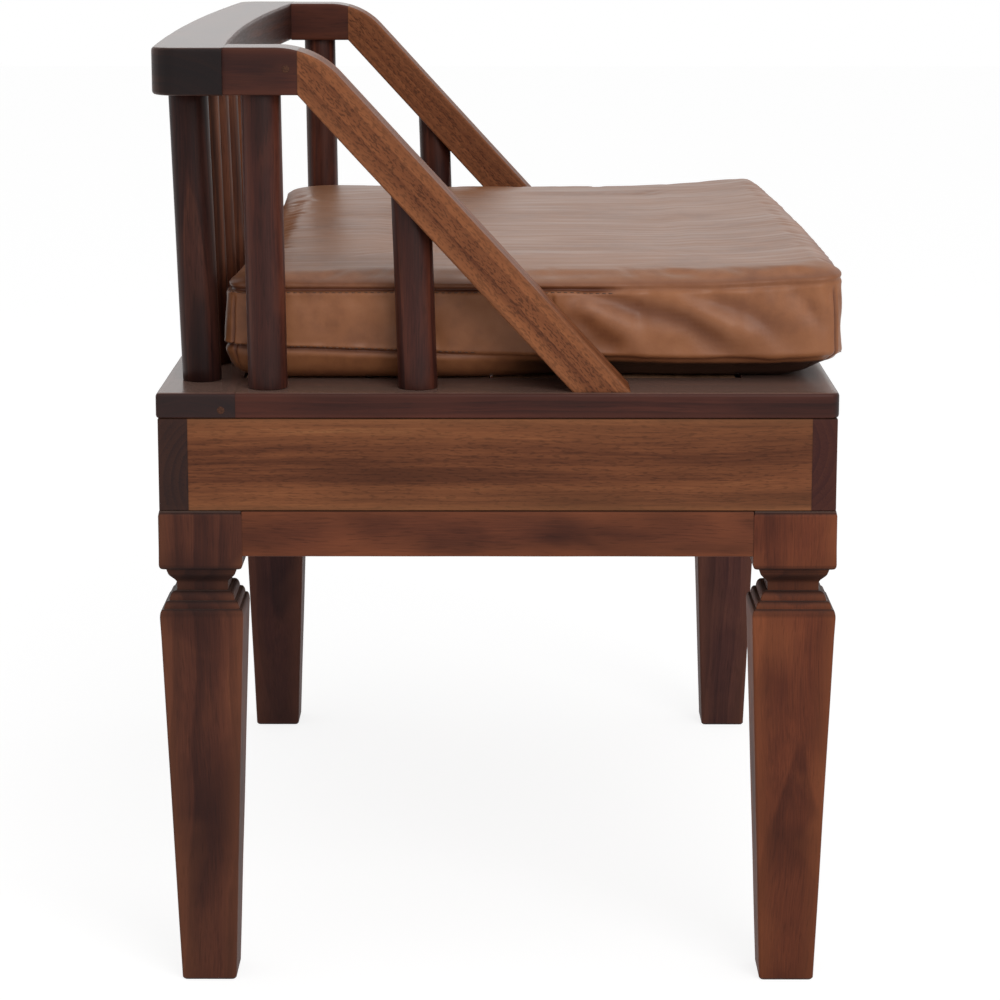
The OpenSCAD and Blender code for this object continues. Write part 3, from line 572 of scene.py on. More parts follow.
@dataclass(frozen=True)
class Joint:
    """A plane where a board meets its neighbour.

    Attributes:
        axis: The way square to the plane.
        place: Where the plane lies, mm.
        flush: True where the arrises in the plane stay square, as on boards planed together.
        outside: Distance from the bench's middle, along its length, from which the plane counts, mm.
    """

    axis: Axis
    place: float
    flush: bool = True
    outside: float = 0.0

    def gap(self, point: Sequence[float]) -> float:
        """Gives a point's distance from the plane, or a large one where the plane doesn't count."""
        return abs(point[self.axis.value] - self.place) if abs(point[0]) > self.outside - 0.05 else 1e3

    def shade(self, point: Sequence[float], width: float) -> float:
        """Gives how dark the joint's line is at a point, for a line of some width."""
        return max(0.0, 1 - self.gap(point) / width) * (0.4 if self.flush else 1.0)


def cut_timber(
    name: str, section: Sequence[Point], axis: Axis, span: Point, timber: StainedTimber, log: LogPlace, slot: str,
    ease: float = 1.6, joints: Sequence[Joint] = (), cell: float = 16.0, nodes: Iterable[str] | None = None,
) -> None:
    """Builds a board: draws a section out, rounds its arrises and leaves the faint waves of a plane on its faces.

    Its "arris" attribute is 1 on the arrises and falls to 0 over about 6 mm. Its "joint" attribute is 1 in the joints.

    Args:
        name: Name of the piece.
        section: Outline, mm.
        axis: The way it is drawn out.
        span: Where it starts and ends, mm.
        timber: Its finish.
        log: Where it was sawn from its log.
        slot: Its material slot; not used.
        ease: Radius of the arrises, mm.
        joints: Where it meets its neighbours.
        cell: Size of the mesh's cells, mm.
        nodes: CAD nodes that it stands for, if not the one of its own name.
    """
    plane_wave, wave_scale, line_width, arris_angle, smooth_angle, margin = 0.1, 0.021, 0.8, 0.45, 0.7, 5
    bm = bmesh.new()
    rings = [[bm.verts.new(axis.point(a, b, c)) for a, b in section] for c in span]
    count = len(section)
    bm.faces.new(rings[0][::-1])
    bm.faces.new(rings[1])
    for i in range(count):
        j = (i + 1) % count
        bm.faces.new((rings[0][i], rings[0][j], rings[1][j], rings[1][i]))
    bmesh.ops.recalc_face_normals(bm, faces=bm.faces)
    sharp = [
        e for e in bm.edges
        if e.calc_face_angle(0.0) > arris_angle
        and not any(j.flush and max(j.gap(v.co) for v in e.verts) < 0.02 for j in joints)
    ]
    lines = np.array([[v.co for v in e.verts] for e in sharp], float)
    bmesh.ops.bevel(
        bm, geom=sharp, offset=ease, offset_type="OFFSET", segments=3, profile=0.5, affect="EDGES", clamp_overlap=True
    )
    co = np.array([v.co for v in bm.verts])
    for k, (low, high) in enumerate(zip(co.min(0), co.max(0))):
        normal = [float(k == n) for n in range(3)]
        steps = max(2, int((high - low) / cell))
        cuts = [low + margin, high - margin] + [low + (high - low) * i / steps for i in range(1, steps)]
        cuts = [c for c in cuts if low + margin - 1 < c < high - margin + 1]
        cuts += [j.place + way * line_width for j in joints if j.axis.value == k for way in (-1, 1)]
        for cut in sorted(c for c in cuts if low + 0.1 < c < high - 0.1):
            bmesh.ops.bisect_plane(
                bm, geom=[*bm.verts, *bm.edges, *bm.faces], dist=0.001,
                plane_co=[cut * n for n in normal], plane_no=normal,
            )
    store_arris(bm, lines)
    line = bm.verts.layers.float.new("joint")
    for v in bm.verts:
        v[line] = max((j.shade(v.co, line_width) for j in joints), default=0.0)
    bm.normal_update()
    for edge in bm.edges:
        edge.smooth = edge.calc_face_angle(0.0) < smooth_angle
    for v in bm.verts:
        free = min((j.gap(v.co) for j in joints), default=9.0) > 0.05
        v.co += v.normal * plane_wave * noise.noise(v.co * wave_scale) * free
    board = finish_mesh(name, bm, timber.dress(name, log))
    mount(board, "bench", [name] if nodes is None else nodes)


def store_arris(bm: bmesh.types.BMesh, lines: np.ndarray, reach: float = 5.0) -> None:
    """Writes how near each point is to an arris.

    Args:
        bm: The mesh, in mm.
        lines: Ends of the arrises.
        reach: Distance over which the value falls, mm.
    """
    layer = bm.verts.layers.float.new("arris")
    start, end = lines[:, 0], lines[:, 1]
    way = end - start
    size = np.maximum((way**2).sum(1), 1e-9)
    for v in bm.verts:
        off = np.array(v.co) - start
        t = np.clip((off * way).sum(1) / size, 0, 1)
        gap = np.linalg.norm(off - t[:, None] * way, axis=1).min()
        v[layer] = math.exp(-((gap / reach) ** 2))


def skin(bm: bmesh.types.BMesh, rings: Iterable[Iterable[Sequence[float]]]) -> list[list[bmesh.types.BMVert]]:
    """Joins closed rings of equal length with faces.

    Args:
        bm: The mesh that they go into.
        rings: Points of each ring.

    Returns:
        The mesh's points, ring by ring.
    """
    made = [[bm.verts.new(p) for p in ring] for ring in rings]
    count = len(made[0])
    for low, high in zip(made, made[1:]):
        for i in range(count):
            j = (i + 1) % count
            bm.faces.new((low[i], low[j], high[j], high[i]))
    return made


def circle(radius: float, sides: int) -> list[Point]:
    """Gives the corners of a regular polygon."""
    turns = (2 * math.pi * i / sides for i in range(sides))
    return [(radius * math.cos(a), radius * math.sin(a)) for a in turns]


def loft(
    name: str, rings: Sequence[Sequence[Sequence[float]]], material: bpy.types.Material,
    arris: Sequence[Sequence[float]] = (), stain: Sequence[float] = (),
) -> bpy.types.Object:
    """Skins closed rings of equal length and closes both ends.

    Args:
        name: Name of the piece.
        rings: Points of each ring, mm.
        material: Its finish.
        arris: Value of the "arris" attribute for each point of each ring.
        stain: Value of the "joint" attribute for each ring: darker towards the foot, and painted shade in the
            mouldings.

    Returns:
        The piece.
    """
    bm = bmesh.new()
    layer, dark = (bm.verts.layers.float.new(name) for name in ("arris", "joint"))
    made = skin(bm, rings)
    for row, values in zip(made, arris):
        for v, value in zip(row, values):
            v[layer] = value
    # Painted shade in the mouldings and a darker foot go into the joint attribute
    for row, value in zip(made, stain):
        for v in row:
            v[dark] = value
    bm.faces.new(made[0][::-1])
    bm.faces.new(made[-1])
    bmesh.ops.recalc_face_normals(bm, faces=bm.faces)
    return finish_mesh(name, bm, material)


def eased_line(points: Sequence[Point], radius: float) -> list[Point]:
    """Rounds the corners of an open line.

    Args:
        points: The line.
        radius: How far from a corner the rounding starts, mm.

    Returns:
        The line with each corner turned into a short curve.
    """
    out = [points[0]]
    for before, corner, after in zip(points, points[1:], points[2:]):
        p, c, q = Vector(before), Vector(corner), Vector(after)
        a, b = (p - c), (q - c)
        if a.length < 1e-6 or b.length < 1e-6:
            continue
        if abs(a.normalized().dot(b.normalized()) + 1) < 0.02:
            out.append(corner)
            continue
        near = c + a.normalized() * min(radius, a.length * 0.45)
        far = c + b.normalized() * min(radius, b.length * 0.45)
        for t in (0.0, 0.5, 1.0):
            mid = near * (1 - t) ** 2 + c * 2 * t * (1 - t) + far * t**2
            out.append((mid.x, mid.y))
    out.append(points[-1])
    return out


# ------------------------------------------------------------------ geometry nodes


class Pattern:
    """A geometry node tree that repeats one shape, with named inputs for its sizes."""

    KINDS = {float: "Float", int: "Int", tuple: "Vector", bpy.types.Material: "Material"}

    def __init__(self, name: str, inputs: dict[str, object]) -> None:
        """Starts the tree.

        Args:
            name: Name of the pattern.
            inputs: Name of each input, with its value.
        """
        self.tree = bpy.data.node_groups.new(name, "GeometryNodeTree")
        self.add = partial(add_node, self.tree)
        face = self.tree.interface
        for way in ("INPUT", "OUTPUT"):
            face.new_socket("Geometry", in_out=way, socket_type="NodeSocketGeometry")
        self.values: dict[str, object] = {}
        for label, value in inputs.items():
            socket = face.new_socket(label, in_out="INPUT", socket_type=f"NodeSocket{self.KINDS[type(value)]}")
            self.values[socket.identifier] = value
        self.given = self.add("NodeGroupInput").node.outputs

    def end(self, geometry: bpy.types.NodeSocket) -> Pattern:
        """Ends the tree: copies become real, and take their finish."""
        real = self.add("GeometryNodeRealizeInstances", {"Geometry": geometry})
        dressed = self.add("GeometryNodeSetMaterial", {"Geometry": real, "Material": self.given["Finish"]})
        self.add("NodeGroupOutput", {0: dressed})
        return self

    def grow(self, name: str, seed_mesh: bpy.types.Object) -> bpy.types.Object:
        """Runs the tree on a mesh and gives the result as a plain piece.

        Args:
            name: Name of the piece.
            seed_mesh: Object that the tree starts from, which is removed.

        Returns:
            The piece, with no modifier left.
        """
        modifier = seed_mesh.modifiers.new(name, "NODES")
        modifier.node_group = self.tree
        for identifier, value in self.values.items():
            modifier[identifier] = value
        seed_mesh.update_tag()
        bpy.context.view_layer.update()
        graph = bpy.context.evaluated_depsgraph_get()
        mesh = bpy.data.meshes.new_from_object(seed_mesh.evaluated_get(graph), depsgraph=graph)
        mesh.name = name
        bpy.data.objects.remove(seed_mesh)
        mesh.shade_smooth()
        return show(name, mesh)


def row_pattern(material: bpy.types.Material, start: float, pitch: float, count: int) -> Pattern:
    """Makes the tree that sets turned pieces in a row along the bench.

    Args:
        material: Their finish.
        start: X of the first one, m.
        pitch: Distance between two, m.
        count: How many.

    Returns:
        The pattern. Each copy gets its own "log_shift".
    """
    values = {"Start": (start, 0.0, 0.0), "Pitch": (pitch, 0.0, 0.0), "Count": count, "Seed": 7, "Finish": material}
    pattern = Pattern("turned_row", values)
    given, add = pattern.given, pattern.add
    line = {"Count": given["Count"], "Start Location": given["Start"], "Offset": given["Pitch"]}
    points = add("GeometryNodeMeshLine", line)
    copies = add("GeometryNodeInstanceOnPoints", {"Points": points, "Instance": given["Geometry"]})
    reach = {0: (-0.4, -0.02, -0.02), 1: (0.4, 0.02, 0.02), "Seed": given["Seed"]}
    shift = add("FunctionNodeRandomValue", reach, data_type="FLOAT_VECTOR")
    named = {"Geometry": copies, "Name": "log_shift", "Value": shift}
    return pattern.end(add("GeometryNodeStoreNamedAttribute", named, data_type="FLOAT_VECTOR", domain="INSTANCE"))


def grid_pattern(
    material: bpy.types.Material, middle: Vector, size: Point, counts: tuple[int, int], seed: int
) -> Pattern:
    """Makes the tree that sets screws on a grid, each turned as the driver left it.

    Args:
        material: Their finish.
        middle: Middle of the grid, m.
        size: Distance between the outer screws along X and Y, m.
        counts: Screws along X and Y.
        seed: Seed of their turns.

    Returns:
        The pattern.
    """
    sizes = {"Size X": size[0], "Size Y": size[1], "Vertices X": counts[0], "Vertices Y": counts[1]}
    pattern = Pattern("screw_grid", {"Middle": tuple(middle), **sizes, "Seed": seed, "Finish": material})
    given, add = pattern.given, pattern.add
    grid = add("GeometryNodeMeshGrid", {name: given[name] for name in sizes})
    placed = add("GeometryNodeTransform", {"Geometry": grid, "Translation": given["Middle"]})
    reach = {0: (0.0, 0.0, 0.0), 1: (0.0, 0.0, 6.28), "Seed": given["Seed"]}
    turn = add("FunctionNodeRandomValue", reach, data_type="FLOAT_VECTOR")
    copies = {"Points": placed, "Instance": given["Geometry"], "Rotation": turn}
    return pattern.end(add("GeometryNodeInstanceOnPoints", copies))


def stitch_pattern(material: bpy.types.Material, pitch: float, length: float, width: float) -> Pattern:
    """Makes the tree that sews stitches along the edges of a mesh.

    Args:
        material: The thread.
        pitch: Distance between two stitches, m.
        length: Length of the thread that shows in a stitch, m.
        width: Width of the thread, m.

    Returns:
        The pattern.
    """
    stitch = (length / 2, width / 2, width / 2)
    pattern = Pattern("stitch_line", {"Pitch": pitch, "Stitch": stitch, "Finish": material})
    given, add = pattern.given, pattern.add
    path = add("GeometryNodeMeshToCurve", {"Mesh": given["Geometry"]})
    points = add("GeometryNodeResampleCurve", {"Curve": path, "Length": given["Pitch"]}, mode="LENGTH")
    turn = add("FunctionNodeAlignEulerToVector", {"Vector": add("GeometryNodeInputTangent")}, axis="X")
    bead = add("GeometryNodeMeshUVSphere", {"Segments": 6, "Rings": 4, "Radius": 1.0})
    copies = {"Points": points, "Instance": bead, "Rotation": turn, "Scale": given["Stitch"]}
    return pattern.end(add("GeometryNodeInstanceOnPoints", copies))


# ------------------------------------------------------------------ the bench


def rectangle(low: Sequence[float], high: Sequence[float]) -> list[Point]:
    """Gives the rectangle between two opposite corners."""
    return [(low[0], low[1]), (high[0], low[1]), (high[0], high[1]), (low[0], high[1])]


def cad_box(node: str) -> tuple[Vector, Vector]:
    """Gives a CAD node's lowest and highest corners in mm."""
    low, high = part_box(node)
    return low / MM, high / MM


WAYS = {Axis.LENGTH: (1.0, 0.0, 0.0), Axis.DEPTH: (0.0, 1.0, 0.0), Axis.HEIGHT: (0.0, 0.0, 1.0)}


def plank(
    name: str, axis: Axis, timber: StainedTimber, slot: str, face: Place, pith: Point, shift: float,
    span: Point | None = None, ease: float = 1.6, joints: Sequence[Joint] = (),
) -> None:
    """Makes a board in the place of the CAD node of the same name.

    Args:
        name: Name of the node, and of the board.
        axis: The way its fibres run.
        timber: Its finish.
        slot: Its material slot, passed on but not used.
        face: The way its show face looks.
        pith: Place of the log's centre from the board's middle, mm.
        shift: How far up the log it was cut, mm.
        span: Where it starts and ends, if the node's box has hidden tenons.
        ease: Radius of its arrises, mm.
        joints: Where it meets its neighbours.
    """
    low, high = cad_box(name)
    across = [k for k in range(3) if k != axis.value]
    section = rectangle([low[k] for k in across], [high[k] for k in across])
    log = LogPlace.of(name, WAYS[axis], face, pith, shift)
    cut_timber(name, section, axis, span or (low[axis.value], high[axis.value]), timber, log, slot, ease, joints)


@dataclass
class LegFrame:
    """Four tapered legs with a moulded neck, and the aprons between them.

    Attributes:
        width: Width of a leg at its block, mm.
        foot: Width at the floor.
        neck: Depth of the neck under the block's faces.
        taper: Height of the tapered part.
        height: Height of the frame.
        block: Height of the block where the aprons meet it.
        ease: Radius of a leg's arrises.
        rise: Heights of the shoulder, lower step, upper step, neck, ogee, fillet and lip.
        piths: Each leg's place in its log.
    """

    width: float = 54.0
    foot: float = 36.0
    neck: float = 10.4
    taper: float = 250.0
    height: float = 321.0
    block: float = 34.0
    ease: float = 2.0
    rise: tuple[float, ...] = (5.5, 5.0, 6.0, 4.5, 8.5, 2.5, 3.5)
    piths: dict[str, Point] = field(
        default_factory=lambda: {
            "leg_front_left": (14.0, -34.0), "leg_front_right": (-30.0, -40.0),
            "leg_back_left": (-22.0, -30.0), "leg_back_right": (26.0, -36.0),
        }
    )

    @staticmethod
    def swell(start: Point, end: Point, steps: int = 8) -> list[Point]:
        """Gives a quarter round that starts upright and ends level.

        Args:
            start: Where it starts, as half width and height, mm.
            end: Where it ends.
            steps: Number of straight pieces.

        Returns:
            Its points.
        """
        turns = [math.pi / 2 * i / steps for i in range(steps + 1)]
        return [
            (start[0] + (end[0] - start[0]) * (1 - math.cos(a)), start[1] + (end[1] - start[1]) * math.sin(a))
            for a in turns
        ]

    def outline(self) -> list[Point]:
        """Gives half the leg's outline as half width and height, from the foot to the block's top."""
        w, f, c, z = self.width / 2, self.foot / 2, self.neck, [self.taper]
        for step in self.rise:
            z.append(z[-1] + step)
        line = [(f - 1.2, 0.0), (f, 1.4)]
        line += [(f + (w - f) * i / 18, 1.4 + (z[0] - 1.4) * i / 18) for i in range(1, 18)]
        # The mouldings, with their insets as shares of the neck's depth
        line += self.swell((w, z[0]), (w - 0.17 * c, z[1]))
        line += self.swell((w - 0.25 * c, z[1]), (w - 0.49 * c, z[2]))
        line += self.swell((w - 0.56 * c, z[2]), (w - 0.92 * c, z[3]))
        line += [(w - c, z[3]), (w - c, z[4])]
        line += [
            (w - c + 0.26 * c * (1 - math.cos(math.pi * i / 12)), z[4] + (z[5] - z[4]) * i / 12) for i in range(1, 13)
        ]
        line += [(w - 0.46 * c, z[5]), (w - 0.43 * c, z[6] - 1), (w - 0.36 * c, z[6]), (w - 0.22 * c, z[6])]
        line += [
            (w - 0.2 * c * (1 - math.sin(a)), z[6] + 0.2 + (z[7] - z[6] - 0.2) * (1 - math.cos(a)))
            for a in (math.pi / 2 * i / 5 for i in range(6))
        ]
        line += [(w, z[7] + (self.height - z[7]) * t) for t in (0.3, 0.6, 0.9)]
        return eased_line([*line, (w - 0.8, self.height)], 0.45)

    @staticmethod
    def ring(half: float, height: float, eases: Sequence[float]) -> tuple[list[Place], list[float]]:
        """Gives the square ring of a leg at one height.

        Args:
            half: Half its width, mm.
            height: Its height, mm.
            eases: Radius of each corner, mm.

        Returns:
            The points about the leg's middle, and how near each is to an arris.
        """
        points, near = [], []
        for k, ease in enumerate(eases):
            following = eases[(k + 1) % 4]
            turns = [math.pi / 6 * i for i in range(4)]
            side = [(half - ease + ease * math.cos(a), half - ease + ease * math.sin(a)) for a in turns]
            near += [float(ease > 0.5)] * 4
            flat = 2 * half - ease - following
            for t in (i / 7 for i in range(1, 7)):
                side.append((half - ease - flat * t, half))
                touched = ease if t < 0.5 else following
                near.append(math.exp(-((min(t, 1 - t) * flat / 6) ** 2)) * (touched > 0.5))
            for _ in range(k):
                side = [(-y, x) for x, y in side]
            points += [(x, y, height) for x, y in side]
        return points, near

    def leg(self, name: str) -> None:
        """Builds one leg.

        Args:
            name: Its CAD node.
        """
        low, high = cad_box(name)
        middle = (low + high) / 2
        rings, near = [], []
        outer = {(True, True): 0, (False, True): 1, (False, False): 2, (True, False): 3}[middle.x > 0, middle.y > 0]
        for half, height in self.outline():
            eases = [self.ease if height < self.taper else 0.7] * 4
            if height > self.height - self.block:
                # Square where the aprons butt against the block
                eases = [self.ease if k == outer else 0.3 for k in range(4)]
            points, values = self.ring(half, height, eases)
            wave = [1 + 0.12 * noise.noise(Vector(p) * 0.02 + middle) / half for p in points]
            rings.append([(middle.x + x * w, middle.y + y * w, z) for (x, y, z), w in zip(points, wave)])
            near.append(values)
        face = (math.copysign(1.0, middle.x), 0.0, 0.0)
        log = LogPlace.of(name, WAYS[Axis.HEIGHT], face, self.piths[name], 300 * len(name))
        # The front left leg takes the lit copy, and the far legs take the shaded one
        timber = SHADED_FAR_LEG_TIMBER if middle.x > 0 else LIT_FRONT_LEG_TIMBER if middle.y < 0 else LEG_TIMBER
        # Darker towards the foot, and painted shade in the neck and under the ogee, less on the back leg
        places = [0, 60, 210, *(self.taper + rise for rise in (0, 2, 15, 18, 30, 35, 36))]
        levels = np.interp([ring[0][2] for ring in rings], places, [0.32, 0.26, 0, 0, 0.45, 0.45, 0.75, 0.8, 0.5, 0])
        stain = [(0.7 if timber is LEG_TIMBER else 1.0) * float(level) for level in levels]
        mount(loft(name, rings, timber.dress(name, log), near, stain), "bench", [name])

    def build(self) -> None:
        """Builds the legs and aprons."""
        for name in self.piths:
            self.leg(name)
        near, right, back = (cad_box(f"leg_{corner}") for corner in ("front_left", "front_right", "back_left"))
        long, deep = (near[1].x, right[0].x), (near[1].y, back[0].y)
        for side, axis, face, pith, shift, inner, ease in (
            ("front", Axis.LENGTH, (0, -1.0, 0), (8, -60), 0, long, 1.6),
            ("back", Axis.LENGTH, (0, 1.0, 0), (8, -60), 200, long, 1.6),
            ("left", Axis.DEPTH, (-1.0, 0, 0), (-12, -55), 900, deep, 1.2),
            ("right", Axis.DEPTH, (1.0, 0, 0), (-12, -55), 1210, deep, 1.2),
        ):
            joints = [*(Joint(axis, place) for place in inner), Joint(Axis.HEIGHT, self.height, flush=False)]
            plank(f"apron_{side}", axis, APRON_TIMBER, "apron_wood", face, pith, shift, inner, ease, joints)


@dataclass
class Case:
    """The closed case on the leg frame: two long boards whose end grain shows, and two side panels."""

    ease: float = 0.9

    def build(self) -> None:
        """Builds the four boards."""
        low, high = cad_box("case_left")
        ends = [Joint(Axis.HEIGHT, place, flush=False) for place in (low.z, high.z)]
        for k, (side, way, inner, timber) in enumerate((
            ("front", -1.0, low.y, FRONT_BOARD_TIMBER), ("back", 1.0, high.y, BOARD_TIMBER),
        )):
            plank(
                f"case_{side}", Axis.LENGTH, timber, "case_board_wood", (0, way, 0), (16, -34), 700 * k,
                ease=self.ease, joints=[*ends, Joint(Axis.DEPTH, inner, outside=-high.x)],
            )
        for k, (side, way) in enumerate((("left", -1.0), ("right", 1.0))):
            plank(
                f"case_{side}", Axis.DEPTH, CASE_TIMBER, "case_panel_wood", (way, 0, 0), (-64, -46), 500 * k,
                ease=self.ease, joints=[*ends, Joint(Axis.DEPTH, low.y), Joint(Axis.DEPTH, high.y)],
            )


@dataclass(frozen=True)
class WoodScrew:
    """A countersunk wood screw with a cross recess.

    Attributes:
        shank: Diameter of the shank, mm.
        head: Diameter of the head.
        length: Length under the head's top.
        arm: Length of one arm of the recess.
        slit: Width of the recess.
        sides: Sides of the turned shape.
    """

    shank: float = 4.0
    head: float = 8.0
    length: float = 30.0
    arm: float = 2.3
    slit: float = 1.1
    sides: int = 16

    def seed(self, flip: bool = False) -> bpy.types.Object:
        """Makes one screw with its head's top at the origin.

        Args:
            flip: True if it points up.

        Returns:
            The screw, in metres, for a pattern to copy.
        """
        bm = bmesh.new()
        head, shank = self.head / 2, self.shank / 2
        profile = [
            (head - 0.25, -0.02), (head, -0.3), (shank, shank - head), (shank, 5 - self.length), (0.5, -self.length),
        ]
        rings = skin(bm, [[(x, y, z) for x, y in circle(r, self.sides)] for r, z in profile])
        bm.faces.new(rings[-1][::-1])
        # The head's top, with a cross sunk into it that narrows to its floor
        a, s = self.arm, self.slit / 2
        arm = [(a, -s), (a, s), (s, s)]
        cross = arm + [(-y, x) for x, y in arm] + [(-x, -y) for x, y in arm] + [(y, -x) for x, y in arm]
        top, floor = ([bm.verts.new((x * k, y * k, z)) for x, y in cross] for k, z in ((1.0, 0.0), (0.6, -1.6)))
        for i, j in zip(range(12), [*range(1, 12), 0]):
            bm.faces.new((top[j], top[i], floor[i], floor[j]))
        bm.faces.new(floor)
        edges = [bm.edges.get(pair) for line in (rings[0], top) for pair in zip(line, [*line[1:], line[0]])]
        bmesh.ops.triangle_fill(bm, edges=edges, use_beauty=True)
        bmesh.ops.recalc_face_normals(bm, faces=bm.faces)
        if flip:
            bmesh.ops.rotate(bm, verts=bm.verts, matrix=Matrix.Rotation(math.pi, 3, "X"))
        return finish_mesh("screw_seed", bm, ZINC_STEEL.dress("seed"), weighted=False)


@dataclass
class Seat:
    """The seat frame of four rails, with boards on bearers inside it.

    Attributes:
        corner: Radius of the front corners, mm.
        ease: Radius of the rails' arrises.
        boards: Number of seat boards.
        board_gap: Gap between two boards.
        bearers: Number of bearers.
        bearer_w: Width of a bearer.
    """

    corner: float = 6.0
    ease: float = 2.2
    boards: int = 4
    board_gap: float = 2.0
    bearers: int = 3
    bearer_w: float = 40.0

    def build(self) -> None:
        """Builds the rails, boards, bearers and screws."""
        slot = "seat_wood"
        front_low, front_high = cad_box("seat_rail_front")
        back_low = cad_box("seat_rail_back")[0]
        under = Joint(Axis.HEIGHT, back_low.z, flush=False)
        plank(
            "seat_rail_back", Axis.LENGTH, SEAT_TIMBER, slot, (0, 0, 1), (10, -40), 150, ease=self.ease,
            joints=[under, Joint(Axis.DEPTH, back_low.y, outside=front_high.x)],
        )
        plank(
            "seat_rail_front", Axis.LENGTH, SEAT_TIMBER, slot, (0, 0, 1), (-14, -40), 950, ease=self.ease,
            joints=[under, Joint(Axis.LENGTH, front_low.x), Joint(Axis.LENGTH, front_high.x)],
        )
        for k, (name, way) in enumerate((("seat_rail_left", -1), ("seat_rail_right", 1))):
            low, high = cad_box(name)
            outer, inner = (low.x, high.x) if way < 0 else (high.x, low.x)
            turn = [math.pi / 2 * i / 6 for i in range(7)]
            section = [(inner, low.y), (inner, high.y), (outer, high.y)] + [
                (outer - way * self.corner * (1 - math.cos(a)), low.y + self.corner * (1 - math.sin(a))) for a in turn
            ]
            log = LogPlace.of(name, WAYS[Axis.DEPTH], (0, 0, 1), (22, -36), 420 + 300 * k)
            joints = [under, Joint(Axis.DEPTH, high.y), Joint(Axis.LENGTH, inner)]
            cut_timber(name, section, Axis.HEIGHT, (low.z, high.z), SEAT_TIMBER, log, slot, self.ease, joints)
        self.inner()
        self.screws()

    def inner(self) -> None:
        """Builds the boards under the cushion and the bearers under them. The first of each stands for them all."""
        plain = {"timber": INNER_TIMBER, "slot": "inner_wood", "ease": 0.8, "cell": 24}
        low, high = cad_box("seat_boards")
        width = (high.y - low.y - (self.boards - 1) * self.board_gap) / self.boards
        for k in range(self.boards):
            y = low.y + k * (width + self.board_gap)
            place = (0.0, y + width / 2, (low.z + high.z) / 2)
            log = LogPlace(place, WAYS[Axis.LENGTH], (0, 0, 1), (30 - 22 * k, -45), 410 * k)
            section, nodes = rectangle((y, low.z), (y + width, high.z)), [] if k else ["seat_boards"]
            cut_timber(f"seat_board_{k + 1}", section, Axis.LENGTH, (low.x, high.x), log=log, nodes=nodes, **plain)
        low, high = cad_box("seat_bearers")
        pitch = (high.x - low.x - self.bearer_w) / (self.bearers - 1)
        for k in range(self.bearers):
            x = low.x + k * pitch
            log = LogPlace((x, 0.0, low.z), WAYS[Axis.DEPTH], (0, 0, -1), (24 - 20 * k, -40), 380 * k)
            section, nodes = rectangle((x, low.z), (x + self.bearer_w, high.z)), [] if k else ["seat_bearers"]
            cut_timber(f"seat_bearer_{k + 1}", section, Axis.DEPTH, (low.y, high.y), log=log, nodes=nodes, **plain)

    def screws(self) -> None:
        """Sets the screws of the boards, which show when the cushion is off, and those under the rails."""
        for node, rows, flip in (("seat_board_screws", self.boards, False), ("seat_rail_screws", 2, True)):
            low, high = cad_box(node)
            screw = WoodScrew(length=high.z - low.z)
            size = ((high.x - low.x - screw.head) * MM, (high.y - low.y - screw.head) * MM)
            middle = Vector(((low.x + high.x) / 2, (low.y + high.y) / 2, low.z if flip else high.z)) * MM
            pattern = grid_pattern(ZINC_STEEL.dress(node), middle, size, (self.bearers, rows), 11 + rows)
            mount(pattern.grow(f"{node}_driven", screw.seed(flip)), "bench", [node])


